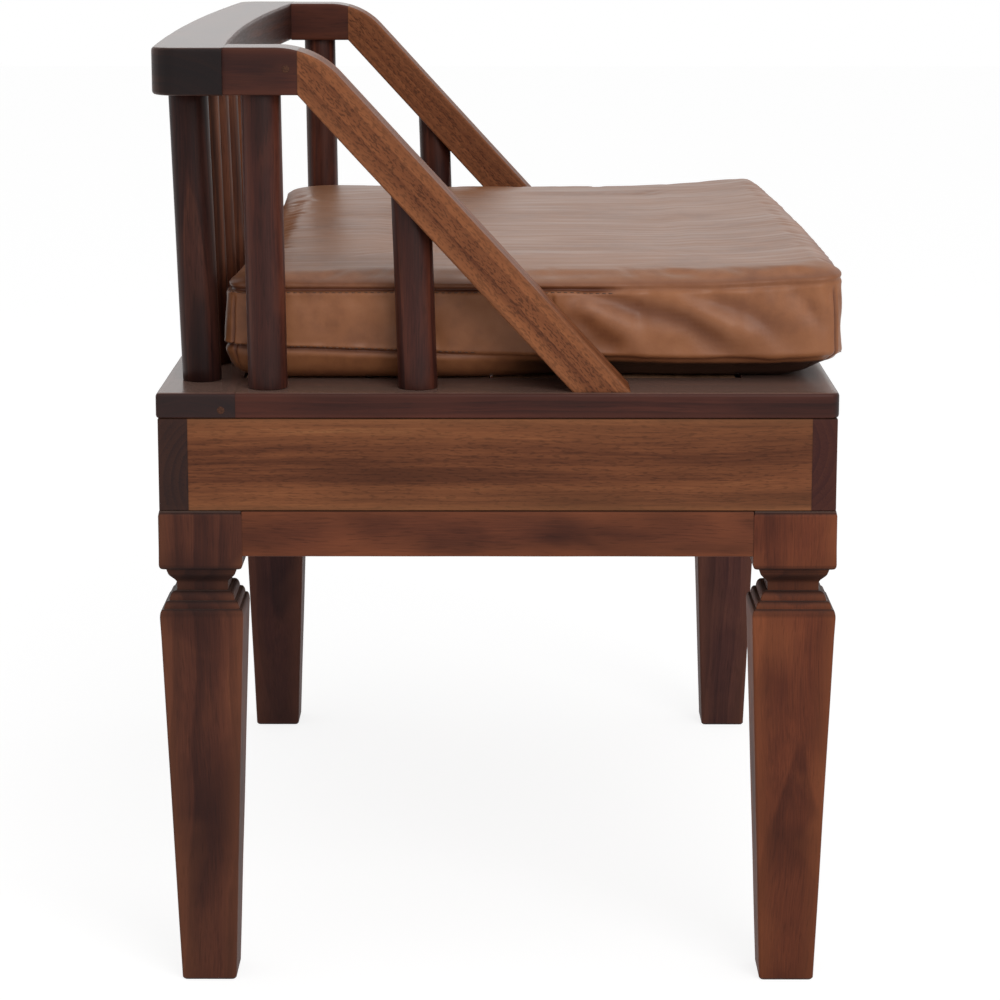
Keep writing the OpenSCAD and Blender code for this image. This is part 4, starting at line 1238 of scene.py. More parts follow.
@dataclass
class Back:
    """The bowed crest rail, the arms that slope from its ends, and the turned spindles under them.

    Attributes:
        half_length: Half the bench's length, mm.
        crest_back: Y of the crest's back at its ends.
        crest_width: Width of the crest at its ends.
        bow: How far it bows backward.
        corner: Radius of its back corners.
        arm_in: X of the arm's inner face.
        knee: Radius of the arm's knee.
        bar: Thickness of the arm's slope.
        run: Run of the slope, from the block to the foot.
        spindle: Diameter of a spindle.
        tenon: Diameter of its tenons.
        row: Number of spindles in the back.
        end_in: Distance from the bench's end to the first spindle.
        lean: How far a back spindle leans over its height.
        side_lean: How far the rear spindle under an arm leans.
        front_in: Distance from the arm's block to the front spindle under the slope.
        short_tenon: Depth of that spindle's upper tenon.
        plug_places: Y and Z of the plugs in the arm block and in the seat's back rail.
    """

    half_length: float = 330.0
    crest_back: float = 218.0
    crest_width: float = 45.0
    bow: float = 8.0
    corner: float = 18.0
    arm_in: float = 287.0
    knee: float = 55.0
    bar: float = 27.5
    run: float = 174.0
    spindle: float = 25.5
    tenon: float = 16.0
    row: int = 9
    end_in: float = 54.0
    lean: float = 6.0
    side_lean: float = 2.0
    front_in: float = 74.5
    short_tenon: float = 8.0
    plug_places: tuple[Point, Point] = ((133.05, 604.0), (177.18, 387.0))

    def crest_outline(self) -> list[Point]:
        """Gives the crest rail's outline, seen from above."""
        r, n = self.corner, 56
        flat = self.half_length - r
        front = self.crest_back - self.crest_width

        def back(x: float) -> float:
            """Gives the Y of the crest's back at x."""
            return self.crest_back + self.bow * (1 - (x / self.half_length) ** 2)

        line = [(-self.half_length, front)]
        for i in range(n + 1):
            x = -self.arm_in + 2 * self.arm_in * i / n
            line.append((x, front + self.bow * max(0.0, 1 - (x / self.arm_in) ** 2)))
        line.append((self.half_length, front))
        turn = [math.radians(84 * i / 12) for i in range(13)]
        right = [(flat + r * math.cos(a), back(flat) - r + r * math.sin(a)) for a in turn]
        line += right
        line += [(flat - 2 * flat * i / n, back(flat - 2 * flat * i / n)) for i in range(1, n)]
        return line + [(-x, y) for x, y in reversed(right)]

    def crest(self) -> None:
        """Builds the crest rail."""
        name, slot, ease = "crest_rail", "crest_wood", 3.0
        low, high = cad_box(name)
        log = LogPlace.of(name, WAYS[Axis.LENGTH], (0, 0, 1), (30, -70), 60)
        joint = Joint(Axis.DEPTH, self.crest_back - self.crest_width, outside=self.arm_in)
        cut_timber(name, self.crest_outline(), Axis.HEIGHT, (low.z, high.z), BACK_TIMBER, log, slot, ease, [joint])

    def arm(self, side: str, way: float) -> None:
        """Builds the flat block and the slope of one arm.

        Args:
            side: left or right.
            way: -1 for the left arm and 1 for the right one.
        """
        block, slope = f"arm_block_{side}", f"arm_slope_{side}"
        (low, high), (slope_low, slope_high) = cad_box(block), cad_box(slope)
        seam, seat_top, top = low.y, slope_low.z, high.z
        foot = seam - self.run
        angle = math.atan2(low.z - seat_top, self.run)

        # The knee runs over the joint between the block and the slope
        knee_y = seam + (top - low.z - self.bar / math.cos(angle)) / math.tan(angle)
        centre = (knee_y + self.knee * math.tan(angle / 2), top - self.knee)
        split = math.pi / 2 + math.asin((centre[0] - seam) / self.knee)

        def arc(start: float, end: float) -> list[Point]:
            """Gives part of the knee, from one angle to another."""
            turn = [start + (end - start) * i / 10 for i in range(11)]
            return [(centre[0] + self.knee * math.cos(a), centre[1] + self.knee * math.sin(a)) for a in turn]

        joint, cell = Joint(Axis.DEPTH, seam), 12
        log = LogPlace.of(block, WAYS[Axis.DEPTH], (way, 0, 0), (20, -50), 1500 + 40 * way)
        section = [(high.y, top), (high.y, low.z), (seam, low.z), *arc(split, math.pi / 2)]
        joints = [joint, Joint(Axis.DEPTH, high.y)]
        span = (low.x, high.x)
        cut_timber(block, section, Axis.LENGTH, span, BLOCK_TIMBER, log, "crest_wood", joints=joints, cell=cell)

        log = LogPlace.of(slope, (0, math.cos(angle), math.sin(angle)), (way, 0, 0), (70, -40), 2200 + 260 * way)
        section = [(seam, low.z), (foot, seat_top), (foot - self.bar / math.sin(angle), seat_top)]
        section += arc(math.pi / 2 + angle, split)
        joints = [joint, Joint(Axis.HEIGHT, seat_top)]
        span = (slope_low.x, slope_high.x)
        cut_timber(slope, section, Axis.LENGTH, span, ARM_TIMBER, log, "arm_wood", joints=joints, cell=cell)

    def turned(
        self, name: str, foot: Vector, lean: float, height: float, tenons: Point, material: bpy.types.Material,
        rake: float = 0.0,
    ) -> bpy.types.Object:
        """Turns one spindle that leans back.

        Args:
            name: Name of the piece.
            foot: Middle of its foot on the seat, mm.
            lean: Lean per unit of height.
            height: Height of its axis over the seat.
            tenons: Depths of the lower and upper tenons.
            material: Its finish.
            rake: Rise of its upper end per unit of depth, where it meets the slope of an arm.

        Returns:
            The spindle.
        """
        r, t = self.spindle / 2, self.tenon / 2
        steps = max(6, int(height / 9))
        line = [(t - 0.6, -tenons[0]), (t, 0.6 - tenons[0]), (t, -0.02), (r - 0.5, 0.0), (r, 0.5)]
        line += [(r, height * i / steps) for i in range(1, steps)]
        line += [(r, height - 0.5), (r - 0.5, height), (t, height + 0.02), (t, height + tenons[1])]
        rings = []
        for radius, z in line:
            ring = []
            for x, y in circle(1.0, 40):
                turn = radius * (1 + 0.006 * noise.noise(Vector((x, y, z * 0.012)) + foot))
                full = height + rake * turn * y
                up = z * full / height if 0 < z <= height else z + (full - height if z > height else 0)
                ring.append((foot.x + turn * x, foot.y + turn * y + lean * up, foot.z + up))
            rings.append(ring)
        return loft(name, rings, material)

    def spindles(self) -> None:
        """Builds the back row by its pattern, and the two spindles under each arm."""
        low, high = cad_box("back_spindle_1")
        seat_top = cad_box("arm_slope_left")[0].z
        crest_z = cad_box("arm_block_left")[0].z
        height = crest_z - seat_top
        slope = self.lean / height
        tenons = (seat_top - low.z, high.z - crest_z)
        foot_y = (low.y + high.y) / 2 - slope * ((low.z + high.z) / 2 - seat_top)
        log = LogPlace((0.0, foot_y, 480.0), WAYS[Axis.HEIGHT], (-1, 0, 0), (10, -30), 0)
        start = -self.half_length + self.end_in
        pitch = -2 * start / (self.row - 1)
        inner, outer = range(2, self.row), (1, self.row)
        for name, timber, numbers in (("back_spindles", LIT_ROW_TIMBER, inner), ("end_spindles", END_TIMBER, outer)):
            wood = timber.dress(name, log, own_shift=True)
            seed = self.turned("spindle_seed", Vector((0, foot_y, seat_top)), slope, height, tenons, wood)
            seed.modifiers.clear()
            first, step = start + pitch * (numbers[0] - 1), pitch * (numbers[1] - numbers[0])
            row = row_pattern(wood, first * MM, step * MM, len(numbers)).grow(name, seed)
            mount(row, "bench", [f"back_spindle_{i}" for i in numbers])

        seam = cad_box("arm_block_left")[0].y
        rise = height / self.run
        for side, way in (("left", -1), ("right", 1)):
            for place in ("rear", "front"):
                name = f"side_spindle_{place}_{side}"
                low, high = cad_box(name)
                x = (low.x + high.x) / 2
                if place == "rear":
                    lean, top, rake, tenon = self.side_lean / height, height, 0.0, tenons[1]
                    foot = (low.y + high.y) / 2 - lean * ((low.z + high.z) / 2 - seat_top)
                else:
                    lean, tenon = slope, self.short_tenon
                    foot = seam - self.front_in
                    rake = rise / (1 - lean * rise)
                    top = (foot - (seam - self.run)) * rake
                log = LogPlace((x, foot, 480.0), WAYS[Axis.HEIGHT], (way, 0, 0), (12, -26), 3000 + 170 * way + foot)
                spindle = self.turned(
                    name, Vector((x, foot, seat_top)), lean, top, (tenons[0], tenon), SPINDLE_TIMBER.dress(name, log),
                    rake,
                )
                mount(spindle, "bench", [name])

    def plugs(self) -> None:
        """Builds the small plugs over the nails, a hair proud of the wood."""
        bm = bmesh.new()
        for node, (y, z) in zip(("arm_block_left", "seat_rail_left"), self.plug_places):
            face = abs(cad_box(node)[0].x)
            for way in (-1.0, 1.0):
                rings = skin(bm, (
                    [(way * (face - depth), y + a, z + b) for a, b in circle(radius, 20)]
                    for radius, depth in ((2.5, 4.0), (2.5, 0.0), (2.2, -0.12), (1.4, -0.2))
                ))
                bm.faces.new(rings[0])
                bm.faces.new(rings[-1])
        bmesh.ops.recalc_face_normals(bm, faces=bm.faces)
        mount(finish_mesh("joint_plugs_domed", bm, PLUG_WOOD.dress("plugs")), "bench", ["joint_plugs"])

    def build(self) -> None:
        """Builds the crest rail, arms, spindles and plugs."""
        self.crest()
        for side, way in (("left", -1.0), ("right", 1.0)):
            self.arm(side, way)
        self.spindles()
        self.plugs()


def smooth(t: np.ndarray | float) -> np.ndarray:
    """Gives a smooth rise from 0 to 1."""
    t = np.clip(t, 0, 1)
    return t * t * (3 - 2 * t)


def bell(x: np.ndarray, width: np.ndarray | float) -> np.ndarray:
    """Gives a rounded peak, 1 where x is 0 and faint beyond twice the width."""
    return np.exp(-((x / width) ** 2))


@dataclass(frozen=True)
class Fold:
    """A soft fold in the cushion's cover.

    Attributes:
        path: Its line, as places along a side of the cushion and heights over the floor, mm.
        width: Its half width where it starts and where it ends, mm.
        depth: How deep it sinks, mm. A ridge has a depth below 0.
    """

    path: tuple[Point, ...]
    width: Point
    depth: float

    def field(self, along: np.ndarray, height: np.ndarray) -> np.ndarray:
        """Gives how far each point sinks, in mm.

        Args:
            along: Places along the side, mm.
            height: Heights, mm.

        Returns:
            The depth of the fold at each point.
        """
        line = np.array(self.path, float)
        lengths = np.linalg.norm(np.diff(line, axis=0), axis=1)
        start = np.concatenate([[0.0], np.cumsum(lengths)])
        best, place = np.full(along.shape, 1e9), np.zeros(along.shape)
        for k, (a, b) in enumerate(zip(line, line[1:])):
            way = b - a
            t = np.clip(((along - a[0]) * way[0] + (height - a[1]) * way[1]) / (way @ way), 0, 1)
            gap = np.hypot(along - a[0] - t * way[0], height - a[1] - t * way[1])
            place = np.where(gap < best, (start[k] + t * lengths[k]) / start[-1], place)
            best = np.minimum(gap, best)
        width = self.width[0] + (self.width[1] - self.width[0]) * place
        fade = smooth(place / 0.25) * smooth((1 - place) / 0.3)
        return self.depth * (0.35 + 0.65 * fade) * bell(best, width)


def spread(length: float, spots: Sequence[float], wide: float, fine: float, reach: float, closed: bool) -> np.ndarray:
    """Spaces points along a line, closer at its seams.

    Args:
        length: Length of the line, mm.
        spots: Places of the seams, mm.
        wide: Spacing away from the seams, mm.
        fine: Spacing at the seams, mm.
        reach: Distance from a seam over which the fine spacing holds, mm.
        closed: True if the line is a ring.

    Returns:
        The places of the points.
    """
    s = np.linspace(0, length, 8000)
    gap = np.full_like(s, wide)
    for spot in spots:
        off = np.abs(s - spot)
        off = np.minimum(off, length - off) if closed else off
        gap = np.minimum(gap, fine + (wide - fine) * smooth((off - reach) / (3 * reach)))
    count = np.concatenate([[0.0], np.cumsum(np.diff(s) / gap[1:])])
    return np.interp(np.linspace(0, count[-1], int(count[-1]), endpoint=not closed), count, s)


def cubic_weights(places: np.ndarray, step: float, count: int, closed: bool) -> np.ndarray:
    """Gives the matrix that reads even samples at other places along a smooth curve.

    Args:
        places: Where to read.
        step: Distance between two samples.
        count: Number of samples.
        closed: True if the samples form a ring.

    Returns:
        One row of weights for each place.
    """
    out = np.zeros((len(places), count))
    at = places / step
    cell = np.floor(at).astype(int)
    t = at - cell
    parts = [
        (-t + 2 * t**2 - t**3) / 2, (2 - 5 * t**2 + 3 * t**3) / 2, (t + 4 * t**2 - 3 * t**3) / 2, (t**3 - t**2) / 2,
    ]
    for k, part in enumerate(parts):
        index = cell + k - 1
        index = index % count if closed else np.clip(index, 0, count - 1)
        np.add.at(out, (np.arange(len(places)), index), part)
    return out


@dataclass
class BoxCushion:
    """The loose leather cushion: a crowned top, a band round it and a bottom, sewn at two seams.

    Attributes:
        base: Height of its underside, mm.
        half_x: Half its length between the arms.
        front: Y of its front.
        back: Y of its back.
        height: Height of its upper seam over its underside.
        crown: Crown over the upper seam.
        corner: Radius of its corners, seen from above.
        swell: Swell in front of the arms.
        swell_y: Y where that swell starts.
        draw_in: How far its back is drawn in between the corners.
        skew: How far its front is pushed back at the right end.
        lift: How far its front corners lift.
        front_crown: Lift of its front's upper edge between the corners, as a share of theirs.
        lower_seam: Height of its lower seam.
        undercut: How far its bottom panel is tucked under in front of the arms.
        pole: Inset at which its rings start to run into the middle.
        cap: How far the filling may push the cover out.
        pressure: Force of the filling in the simulation.
        frames: Frames of the simulation.
        seed: Seed of the small folds.
        stitch: Distance between two stitches, and the length and width of the thread that shows in one.
    """

    base: float = 398.3
    half_x: float = 286.2
    front: float = -226.0
    back: float = 179.45
    height: float = 60.0
    crown: float = 12.0
    corner: float = 16.0
    swell: float = 4.0
    swell_y: float = -91.34
    draw_in: float = 5.0
    skew: float = 12.0
    lift: float = 7.0
    front_crown: float = 1.35
    lower_seam: float = 16.0
    undercut: float = 12.0
    pole: float = 120.0
    cap: float = 1.6
    pressure: float = 4.0
    frames: int = 20
    seed: int = 5
    stitch: Place = (4.2, 2.9, 0.75)

    def __post_init__(self) -> None:
        """Works out the outline, the profile and the places of the seams."""
        self.mid_y = (self.front + self.back) / 2
        self.half_y = (self.back - self.front) / 2
        line = self.outline()
        self.line = np.vstack([line, line[:1]])
        self.around = self.lengths(self.line)
        self.knots = self.profile()
        self.up = self.lengths(self.knots[:, :2])
        self.seams = [self.at_height(self.height), self.at_height(self.lower_seam)]

    @staticmethod
    def lengths(points: np.ndarray) -> np.ndarray:
        """Gives the length along a line at each of its points."""
        return np.concatenate([[0.0], np.cumsum(np.linalg.norm(np.diff(points, axis=0), axis=1))])

    def side_x(self, y: np.ndarray | float) -> np.ndarray:
        """Gives the cushion's half length at Y."""
        return self.half_x + self.swell * smooth((self.swell_y - np.asarray(y)) / 60)

    def outline(self) -> np.ndarray:
        """Gives the cushion's outline from above, from its front left corner round to the right."""
        r, front, back = self.corner, self.front, self.back
        xf, xb = float(self.side_x(front)), float(self.side_x(back))

        def arc(x: float, y: float, start: float) -> np.ndarray:
            """Gives a quarter of a corner's circle."""
            a = np.radians(start + np.linspace(0, 90, 25))
            return np.stack([x + r * np.cos(a), y + r * np.sin(a)], 1)

        u = np.linspace(0, 1, 402)[1:-1]
        bow = self.draw_in * np.sin(np.pi * u) ** 0.8
        y = front + r + (back - front - 2 * r) * u
        return np.vstack([
            arc(-xf + r, front + r, 180),
            np.stack([-xf + r + u * 2 * (xf - r), np.full_like(u, front)], 1),
            arc(xf - r, front + r, 270),
            np.stack([self.side_x(y), y], 1),
            arc(xb - r, back - r, 0),
            np.stack([xb - r - u * 2 * (xb - r), back - bow], 1),
            arc(-xb + r, back - r, 90),
            np.stack([-self.side_x(y[::-1]), y[::-1]], 1),
        ])

    def profile(self) -> np.ndarray:
        """Gives the cushion's profile from the middle of its underside to the middle of its top.

        Returns:
            Rows of inset, height over the underside, and share of the corners' lift.
        """
        h, c = self.height, self.crown
        end = self.pole + 98
        rows = np.array([
            (end, 0.3, 0), (self.pole, 0.3, 0), (40, 0, 0), (16, 0.8, 0.1), (7, 4.5, 0.4), (2, 11, 0.7),
            (0.3, 18, 0.8), (0, 26, 0.9), (0.6, h * 0.66, 1), (1.4, h - 9, 1), (2.2, h - 3, 1), (3.6, h, 1),
            (3.8, h + 3, 1), (5.6, h + 5.9, 1), (9.5, h + 7.8, 1), (15, h + 8.6, 0.9), (30, h + 9.5, 0.6),
            (60, h + 10.6, 0.2), (self.pole, h + c, 0), (end, h + c + 0.4, 0),
        ])
        t = self.lengths(rows[:, :2])
        slope = np.gradient(rows, t, axis=0)
        slope[0] = slope[-1] = 0
        out = []
        for k in range(len(rows) - 1):
            u = np.linspace(0, 1, 40, endpoint=False)[:, None]
            gap = t[k + 1] - t[k]
            out.append(
                (2 * u**3 - 3 * u**2 + 1) * rows[k] + (u**3 - 2 * u**2 + u) * gap * slope[k]
                + (3 * u**2 - 2 * u**3) * rows[k + 1] + (u**3 - u**2) * gap * slope[k + 1]
            )
        return np.vstack([*out, rows[-1:]])

    def at_height(self, height: float) -> float:
        """Gives the length along the profile where the band reaches a height over the underside."""
        band = (self.knots[:, 0] < 12) & (self.knots[:, 1] > 2)
        return float(np.interp(height, self.knots[band, 1], self.up[band]))

    def ring(self, s: np.ndarray) -> np.ndarray:
        """Gives the outline's points at lengths along it."""
        return np.stack([np.interp(s, self.around, self.line[:, k]) for k in range(2)], 1)

    def rise(self, r: np.ndarray) -> list[np.ndarray]:
        """Gives the inset, the height over the underside and the share of the lift at lengths along the profile."""
        return [np.interp(r, self.up, self.knots[:, k]) for k in range(3)]

    def surface(self, s: np.ndarray, r: np.ndarray) -> np.ndarray:
        """Gives the plain form of the cushion.

        Args:
            s: Lengths along the outline, mm.
            r: Lengths along the profile, mm.

        Returns:
            Points, as rows by places round the outline, mm.
        """
        ring_x, ring_y = self.ring(s).T
        inset, up, share = self.rise(r[:, None])
        flat = np.minimum(inset, self.pole) + self.undercut * self.tucked(ring_y, up)
        # The seam is hardly drawn in at the front corners
        at_corner = smooth((np.abs(ring_x) - self.half_x + 30) / 20) * smooth((self.front + 40 - ring_y) / 25)
        flat -= 2.2 * at_corner * bell(up - self.height - 1, 4) * (inset < 12)
        close = 1 - np.clip((inset - self.pole) / 100, 0, 0.98)
        x = ring_x * (1 - flat / self.half_x) * close
        y = self.mid_y + (ring_y - self.mid_y) * (1 - flat / self.half_y) * close
        ends = np.minimum(1, np.abs(ring_x) / self.half_x) ** 6
        frontward = np.maximum(0, (self.mid_y - ring_y) / self.half_y)
        raised = self.front_crown * smooth((up - self.lower_seam - 4) / 30)
        lift = self.lift * (ends + (1 - ends) * raised) * frontward**3
        y = y + self.skew * ((1 + x / self.half_x) / 2) ** 2 * np.clip((self.mid_y - y) / self.half_y, 0, 1) ** 2
        # The lower seam runs higher at the back than at the front
        tilt = np.interp(ring_y, [self.front, self.mid_y, self.back], [-5.0, 0.0, 7.0])
        near = bell(up - self.lower_seam, 9) * (inset < 12)
        return np.stack([x, y, self.base + up + share * lift + tilt * near], 2)

    def tucked(self, y: np.ndarray, up: np.ndarray) -> np.ndarray:
        """Gives how far the bottom panel is tucked under, as a share, at Y and at a height over the underside."""
        return smooth((self.lower_seam + 4 - up) / 14) * smooth((30 - y) / 70)

    @staticmethod
    def normals(points: np.ndarray) -> np.ndarray:
        """Gives the outward normal at each point of the surface."""
        along = np.roll(points, -1, 1) - np.roll(points, 1, 1)
        up = np.gradient(points, axis=0)
        out = np.cross(along, up)
        return out / np.maximum(np.linalg.norm(out, axis=2, keepdims=True), 1e-9)

    def folds(self) -> dict[tuple[int, float], list[Fold]]:
        """Gives the folds of each side, by the axis and way that it faces.

        Returns:
            The folds of the left end as they lie on the real one, and seeded ones elsewhere.
        """
        left = [
            Fold(((-58, 456), (-89, 445.5), (-122, 438), (-142, 425.6), (-164, 413)), (5, 10), 3.4),
            Fold(((-128, 453), (-162, 445.5), (-190, 424)), (5, 9), 2.6),
            Fold(((-50, 441), (-84, 417)), (5, 9), 2.2),
            Fold(((-46, 453), (-97, 418)), (8, 12), -1.5),
            Fold(((-106, 454), (-149, 431), (-190, 414)), (8, 12), -1.7),
            Fold(((20, 440), (60, 428), (110, 431)), (8, 12), 0.9),
            Fold(((140, 452), (162, 436), (176, 428)), (4, 7), 1.6),
            Fold(((150, 424), (178, 415)), (4, 6), 1.2),
            Fold(((-200, 452), (-216, 430)), (4, 7), 1.2),
        ]
        sides = {(0, -1.0): left}
        rng = np.random.default_rng(self.seed)
        for (axis, way), reach, count in (((0, 1.0), 190, 9), ((1, -1.0), 265, 11), ((1, 1.0), 265, 10)):
            made = []
            for place in np.linspace(-reach, reach, count):
                place += rng.uniform(-18, 18) + (self.mid_y if axis == 0 else 0)
                lean = rng.uniform(18, 52) * rng.choice([-1.0, 1.0])
                top, low = rng.uniform(444, 455), rng.uniform(412, 430)
                mid = (place + lean * rng.uniform(0.3, 0.6), (top + low) / 2 + rng.uniform(-5, 5))
                made.append(Fold(((place, top), mid, (place + lean, low)), (5, 10), rng.uniform(0.7, 2.4)))
            sides[(axis, way)] = made
        return sides

    def relief(self, points: np.ndarray, s: np.ndarray, r: np.ndarray) -> tuple[np.ndarray, np.ndarray]:
        """Gives the seams, folds and puckers of the cover.

        Args:
            points: The plain form, mm.
            s: Lengths along the outline, mm.
            r: Lengths along the profile, mm.

        Returns:
            How far each point moves out, mm, and how dark it is painted there: darker seam lines, and painted shade in
            the folds and on the top's turned edge.
        """
        normal = self.normals(points)
        inset, up, _ = self.rise(r[:, None])
        band = smooth((up - 3) / 8) * smooth((self.height - up + 2) / 4) * (inset < 14)
        out, seam_line_and_shade = np.zeros(points.shape[:2]), np.zeros(points.shape[:2])
        for (axis, way), folds in self.folds().items():
            facing = smooth((way * normal[:, :, axis] - 0.35) / 0.4) * band
            for fold in folds:
                depth = 1.3 * fold.field(points[:, :, 1 - axis], points[:, :, 2]) * facing
                out -= depth
                # Painted shade in the fold
                seam_line_and_shade += np.clip(depth, 0, None) / 6
        rough = np.array([[noise.noise(Vector(p) * 0.016) for p in row] for row in points[:, ::2]])
        rough = np.repeat(rough, 2, 1)[:, : points.shape[1]]
        rough = (rough + np.roll(rough, 1, 1)) / 2
        out += (1.1 * band + 0.9 * smooth((up - self.height - 3) / 3)) * rough
        for seam, tight in zip(self.seams, self.tightness(s)):
            off = np.abs(r - seam)[:, None]
            out += tight * (-1.7 * bell(off, 1.1) + 0.6 * bell(off - 3.2, 1.8))
            pucker = [noise.noise(Vector((p / 8, seam, 0))) + 0.6 * noise.noise(Vector((p / 19, seam, 5))) for p in s]
            out += 0.45 * np.array(pucker) * bell(off - 4, 5)
            seam_line_and_shade += 0.95 * tight * bell(off, 1.5)
        # Painted shade on the top's turned edge over the seam
        seam_line_and_shade += 0.45 * bell((r - self.seams[0])[:, None] - 4.2, 3.6)
        for spot, low in self.upright_seams():
            off = np.abs(s - spot)
            off = np.minimum(off, self.around[-1] - off)
            part = band * smooth((up - low) / 6) * smooth((self.height - 2 - up) / 8)
            out += part * (-0.9 * bell(off, 0.9) + 0.4 * bell(off - 2.6, 1.4))
            seam_line_and_shade += part * 0.8 * bell(off, 1.2)
        return out * smooth((up - 0.5) / 3 + (inset < 30) * 0.3), np.clip(seam_line_and_shade, 0, 1)

    def tightness(self, s: np.ndarray) -> tuple[np.ndarray, np.ndarray]:
        """Gives how deep the upper and lower seams are drawn in.

        Args:
            s: Lengths along the outline, mm.

        Returns:
            The shares of the upper and of the lower seam. Both fade where the ends stand free of the arms.
        """
        y = self.ring(s)[:, 1]
        front = smooth((self.front + 14 - y) / 8)
        upper = 1 - (0.85 - 0.4 * front) * smooth((-62 - y) / 26)
        lower = 1 - (0.6 - 0.3 * front) * smooth((60 - y) / 60)
        for spot, _ in self.upright_seams()[:2]:
            near = bell(s - spot, 14)
            upper, lower = upper * (1 - 0.8 * near), lower * (1 - 0.6 * near)
        return upper, lower

    def upright_seams(self) -> list[Point]:
        """Gives the joints of the band, as places along the outline and the heights where they start."""
        x, back = self.half_x, self.back - 3
        spots = [(way * (x + 2), self.front + 3, 0.0) for way in (-1, 1)] + [(way * x, back, 0.0) for way in (-1, 1)]
        line = self.line[:-1].T
        return [
            (float(self.around[np.hypot(line[0] - x, line[1] - y).argmin()]), low)
            for x, y, low in [*spots, (-x, -35.7, 48.0)]
        ]

    def mesh(self, name: str, points: np.ndarray) -> bpy.types.Mesh:
        """Turns rows of points into a closed mesh in metres.

        Args:
            name: Name of the mesh.
            points: Rows from the middle of the underside to the middle of the top, mm.

        Returns:
            The mesh.
        """
        rows, count = points.shape[:2]
        flat = points.reshape(-1, 3)
        ends = [points[0].mean(0), points[-1].mean(0)]
        i = np.arange(count)
        j = (i + 1) % count
        faces = [
            tuple(f) for k in range(rows - 1)
            for f in np.stack([k * count + i, k * count + j, (k + 1) * count + j, (k + 1) * count + i], 1).tolist()
        ]
        low, high = len(flat), len(flat) + 1
        faces += [(low, b, a) for a, b in zip(i.tolist(), j.tolist())]
        top = (rows - 1) * count
        faces += [(high, top + a, top + b) for a, b in zip(i.tolist(), j.tolist())]
        made = bpy.data.meshes.new(name)
        made.from_pydata((np.vstack([flat, ends]) * MM).tolist(), [], faces)
        made.shade_smooth()
        return made

    def puff(self, s: np.ndarray, r: np.ndarray) -> np.ndarray:
        """Blows up a coarse copy of the cover between its seams, as its filling does.

        Args:
            s: Lengths along the outline where the result is read, mm.
            r: Lengths along the profile where it is read, mm.

        Returns:
            How each point moves, mm.
        """
        across, rows = 280, 64
        step_s, step_r = self.around[-1] / across, self.up[-1] / (rows - 1)
        cs, cr = np.arange(across) * step_s, np.arange(rows) * step_r
        rest = self.surface(cs, cr)
        inset, up, _ = self.rise(cr)
        held = (inset > 95) | (up < 6)
        for seam in self.seams:
            held |= np.abs(cr - seam) < step_r * 0.6
        cover = show("cover_copy", self.mesh("cover_copy", rest))
        fixed = np.repeat(held, across).nonzero()[0].tolist() + [rows * across, rows * across + 1]
        cover.vertex_groups.new(name="sewn").add(fixed, 1.0, "REPLACE")
        cloth = cover.modifiers.new("cloth", "CLOTH")
        for name, value in {
            "quality": 6, "mass": 0.4, "tension_stiffness": 20, "compression_stiffness": 20, "bending_stiffness": 1.2,
            "use_pressure": True, "uniform_pressure_force": self.pressure, "shrink_min": -0.005,
            "vertex_group_mass": "sewn",
        }.items():
            setattr(cloth.settings, name, value)
        cloth.settings.effector_weights.gravity = 0
        cloth.point_cache.frame_start, cloth.point_cache.frame_end = 1, self.frames
        scene = bpy.context.scene
        for frame in range(1, self.frames + 1):
            scene.frame_set(frame)
        graph = bpy.context.evaluated_depsgraph_get()
        moved = np.empty(len(cover.data.vertices) * 3)
        cover.evaluated_get(graph).data.vertices.foreach_get("co", moved)
        bpy.data.objects.remove(cover)
        scene.frame_set(1)
        shift = moved.reshape(-1, 3)[: rows * across].reshape(rows, across, 3) / MM - rest
        size = np.linalg.norm(shift, axis=2, keepdims=True)
        shift *= np.minimum(1, self.cap / np.maximum(size, 1e-6))
        LOG.info("cushion cover blown up: mean %.2f mm, most %.2f mm", size.mean(), size.max())
        by_row = cubic_weights(r, step_r, rows, closed=False)
        by_place = cubic_weights(s, step_s, across, closed=True)
        return np.einsum("ri,ijk,sj->rsk", by_row, shift, by_place)

    def build(self) -> None:
        """Builds the cushion and its stitches."""
        places = [place for place, _ in self.upright_seams()]
        s = spread(self.around[-1], places, wide=3.4, fine=0.6, reach=3.0, closed=True)
        # Fine rows at the seams, coarse ones where the top and bottom are plain
        r = spread(self.up[-1], [], wide=3.2, fine=0.6, reach=3.0, closed=False)
        keep = (self.rise(r)[0] < 45) | (np.arange(len(r)) % 3 == 0)
        fine = [np.arange(seam - 5, seam + 5.1, 0.65) for seam in self.seams]
        r = np.unique(np.concatenate([r[keep], [self.up[-1]], *fine, [self.at_height(self.height + 4)]]))
        r = r[np.insert(np.diff(r) > 0.3, 0, True)]
        points = self.surface(s, r)
        out, seam_line_and_shade = self.relief(points, s, r)
        moved = self.normals(points) * out[:, :, None]
        points = points + self.puff(s, r)
        points = points + moved
        points[:, :, 2] = np.maximum(points[:, :, 2], self.base)
        mesh = self.mesh("box_cushion", points)
        up = self.rise(r[:, None])[1]
        # Painted shade on the bottom panel where it is tucked under the front
        painted_tuck_shade = 0.9 * smooth((self.lower_seam - 1 - up) / 4) * smooth((10 - self.ring(s)[:, 1]) / 60)
        # The first attribute carries the darker seam lines and the painted shade in the folds and on the turned edge;
        # the second is painted shade under the tucked front edge
        for name, values in (("fold", seam_line_and_shade), ("painted_tuck_shade", painted_tuck_shade)):
            mesh.attributes.new(name, "FLOAT", "POINT").data.foreach_set("value", np.append(values.ravel(), [0, 0]))
        mesh.materials.append(LEATHER.dress("cushion"))
        cushion = show("box_cushion", mesh)
        mount(cushion, "cushion", ["cushion_cover", "cushion_foam"])
        self.stitches(points, s, r)

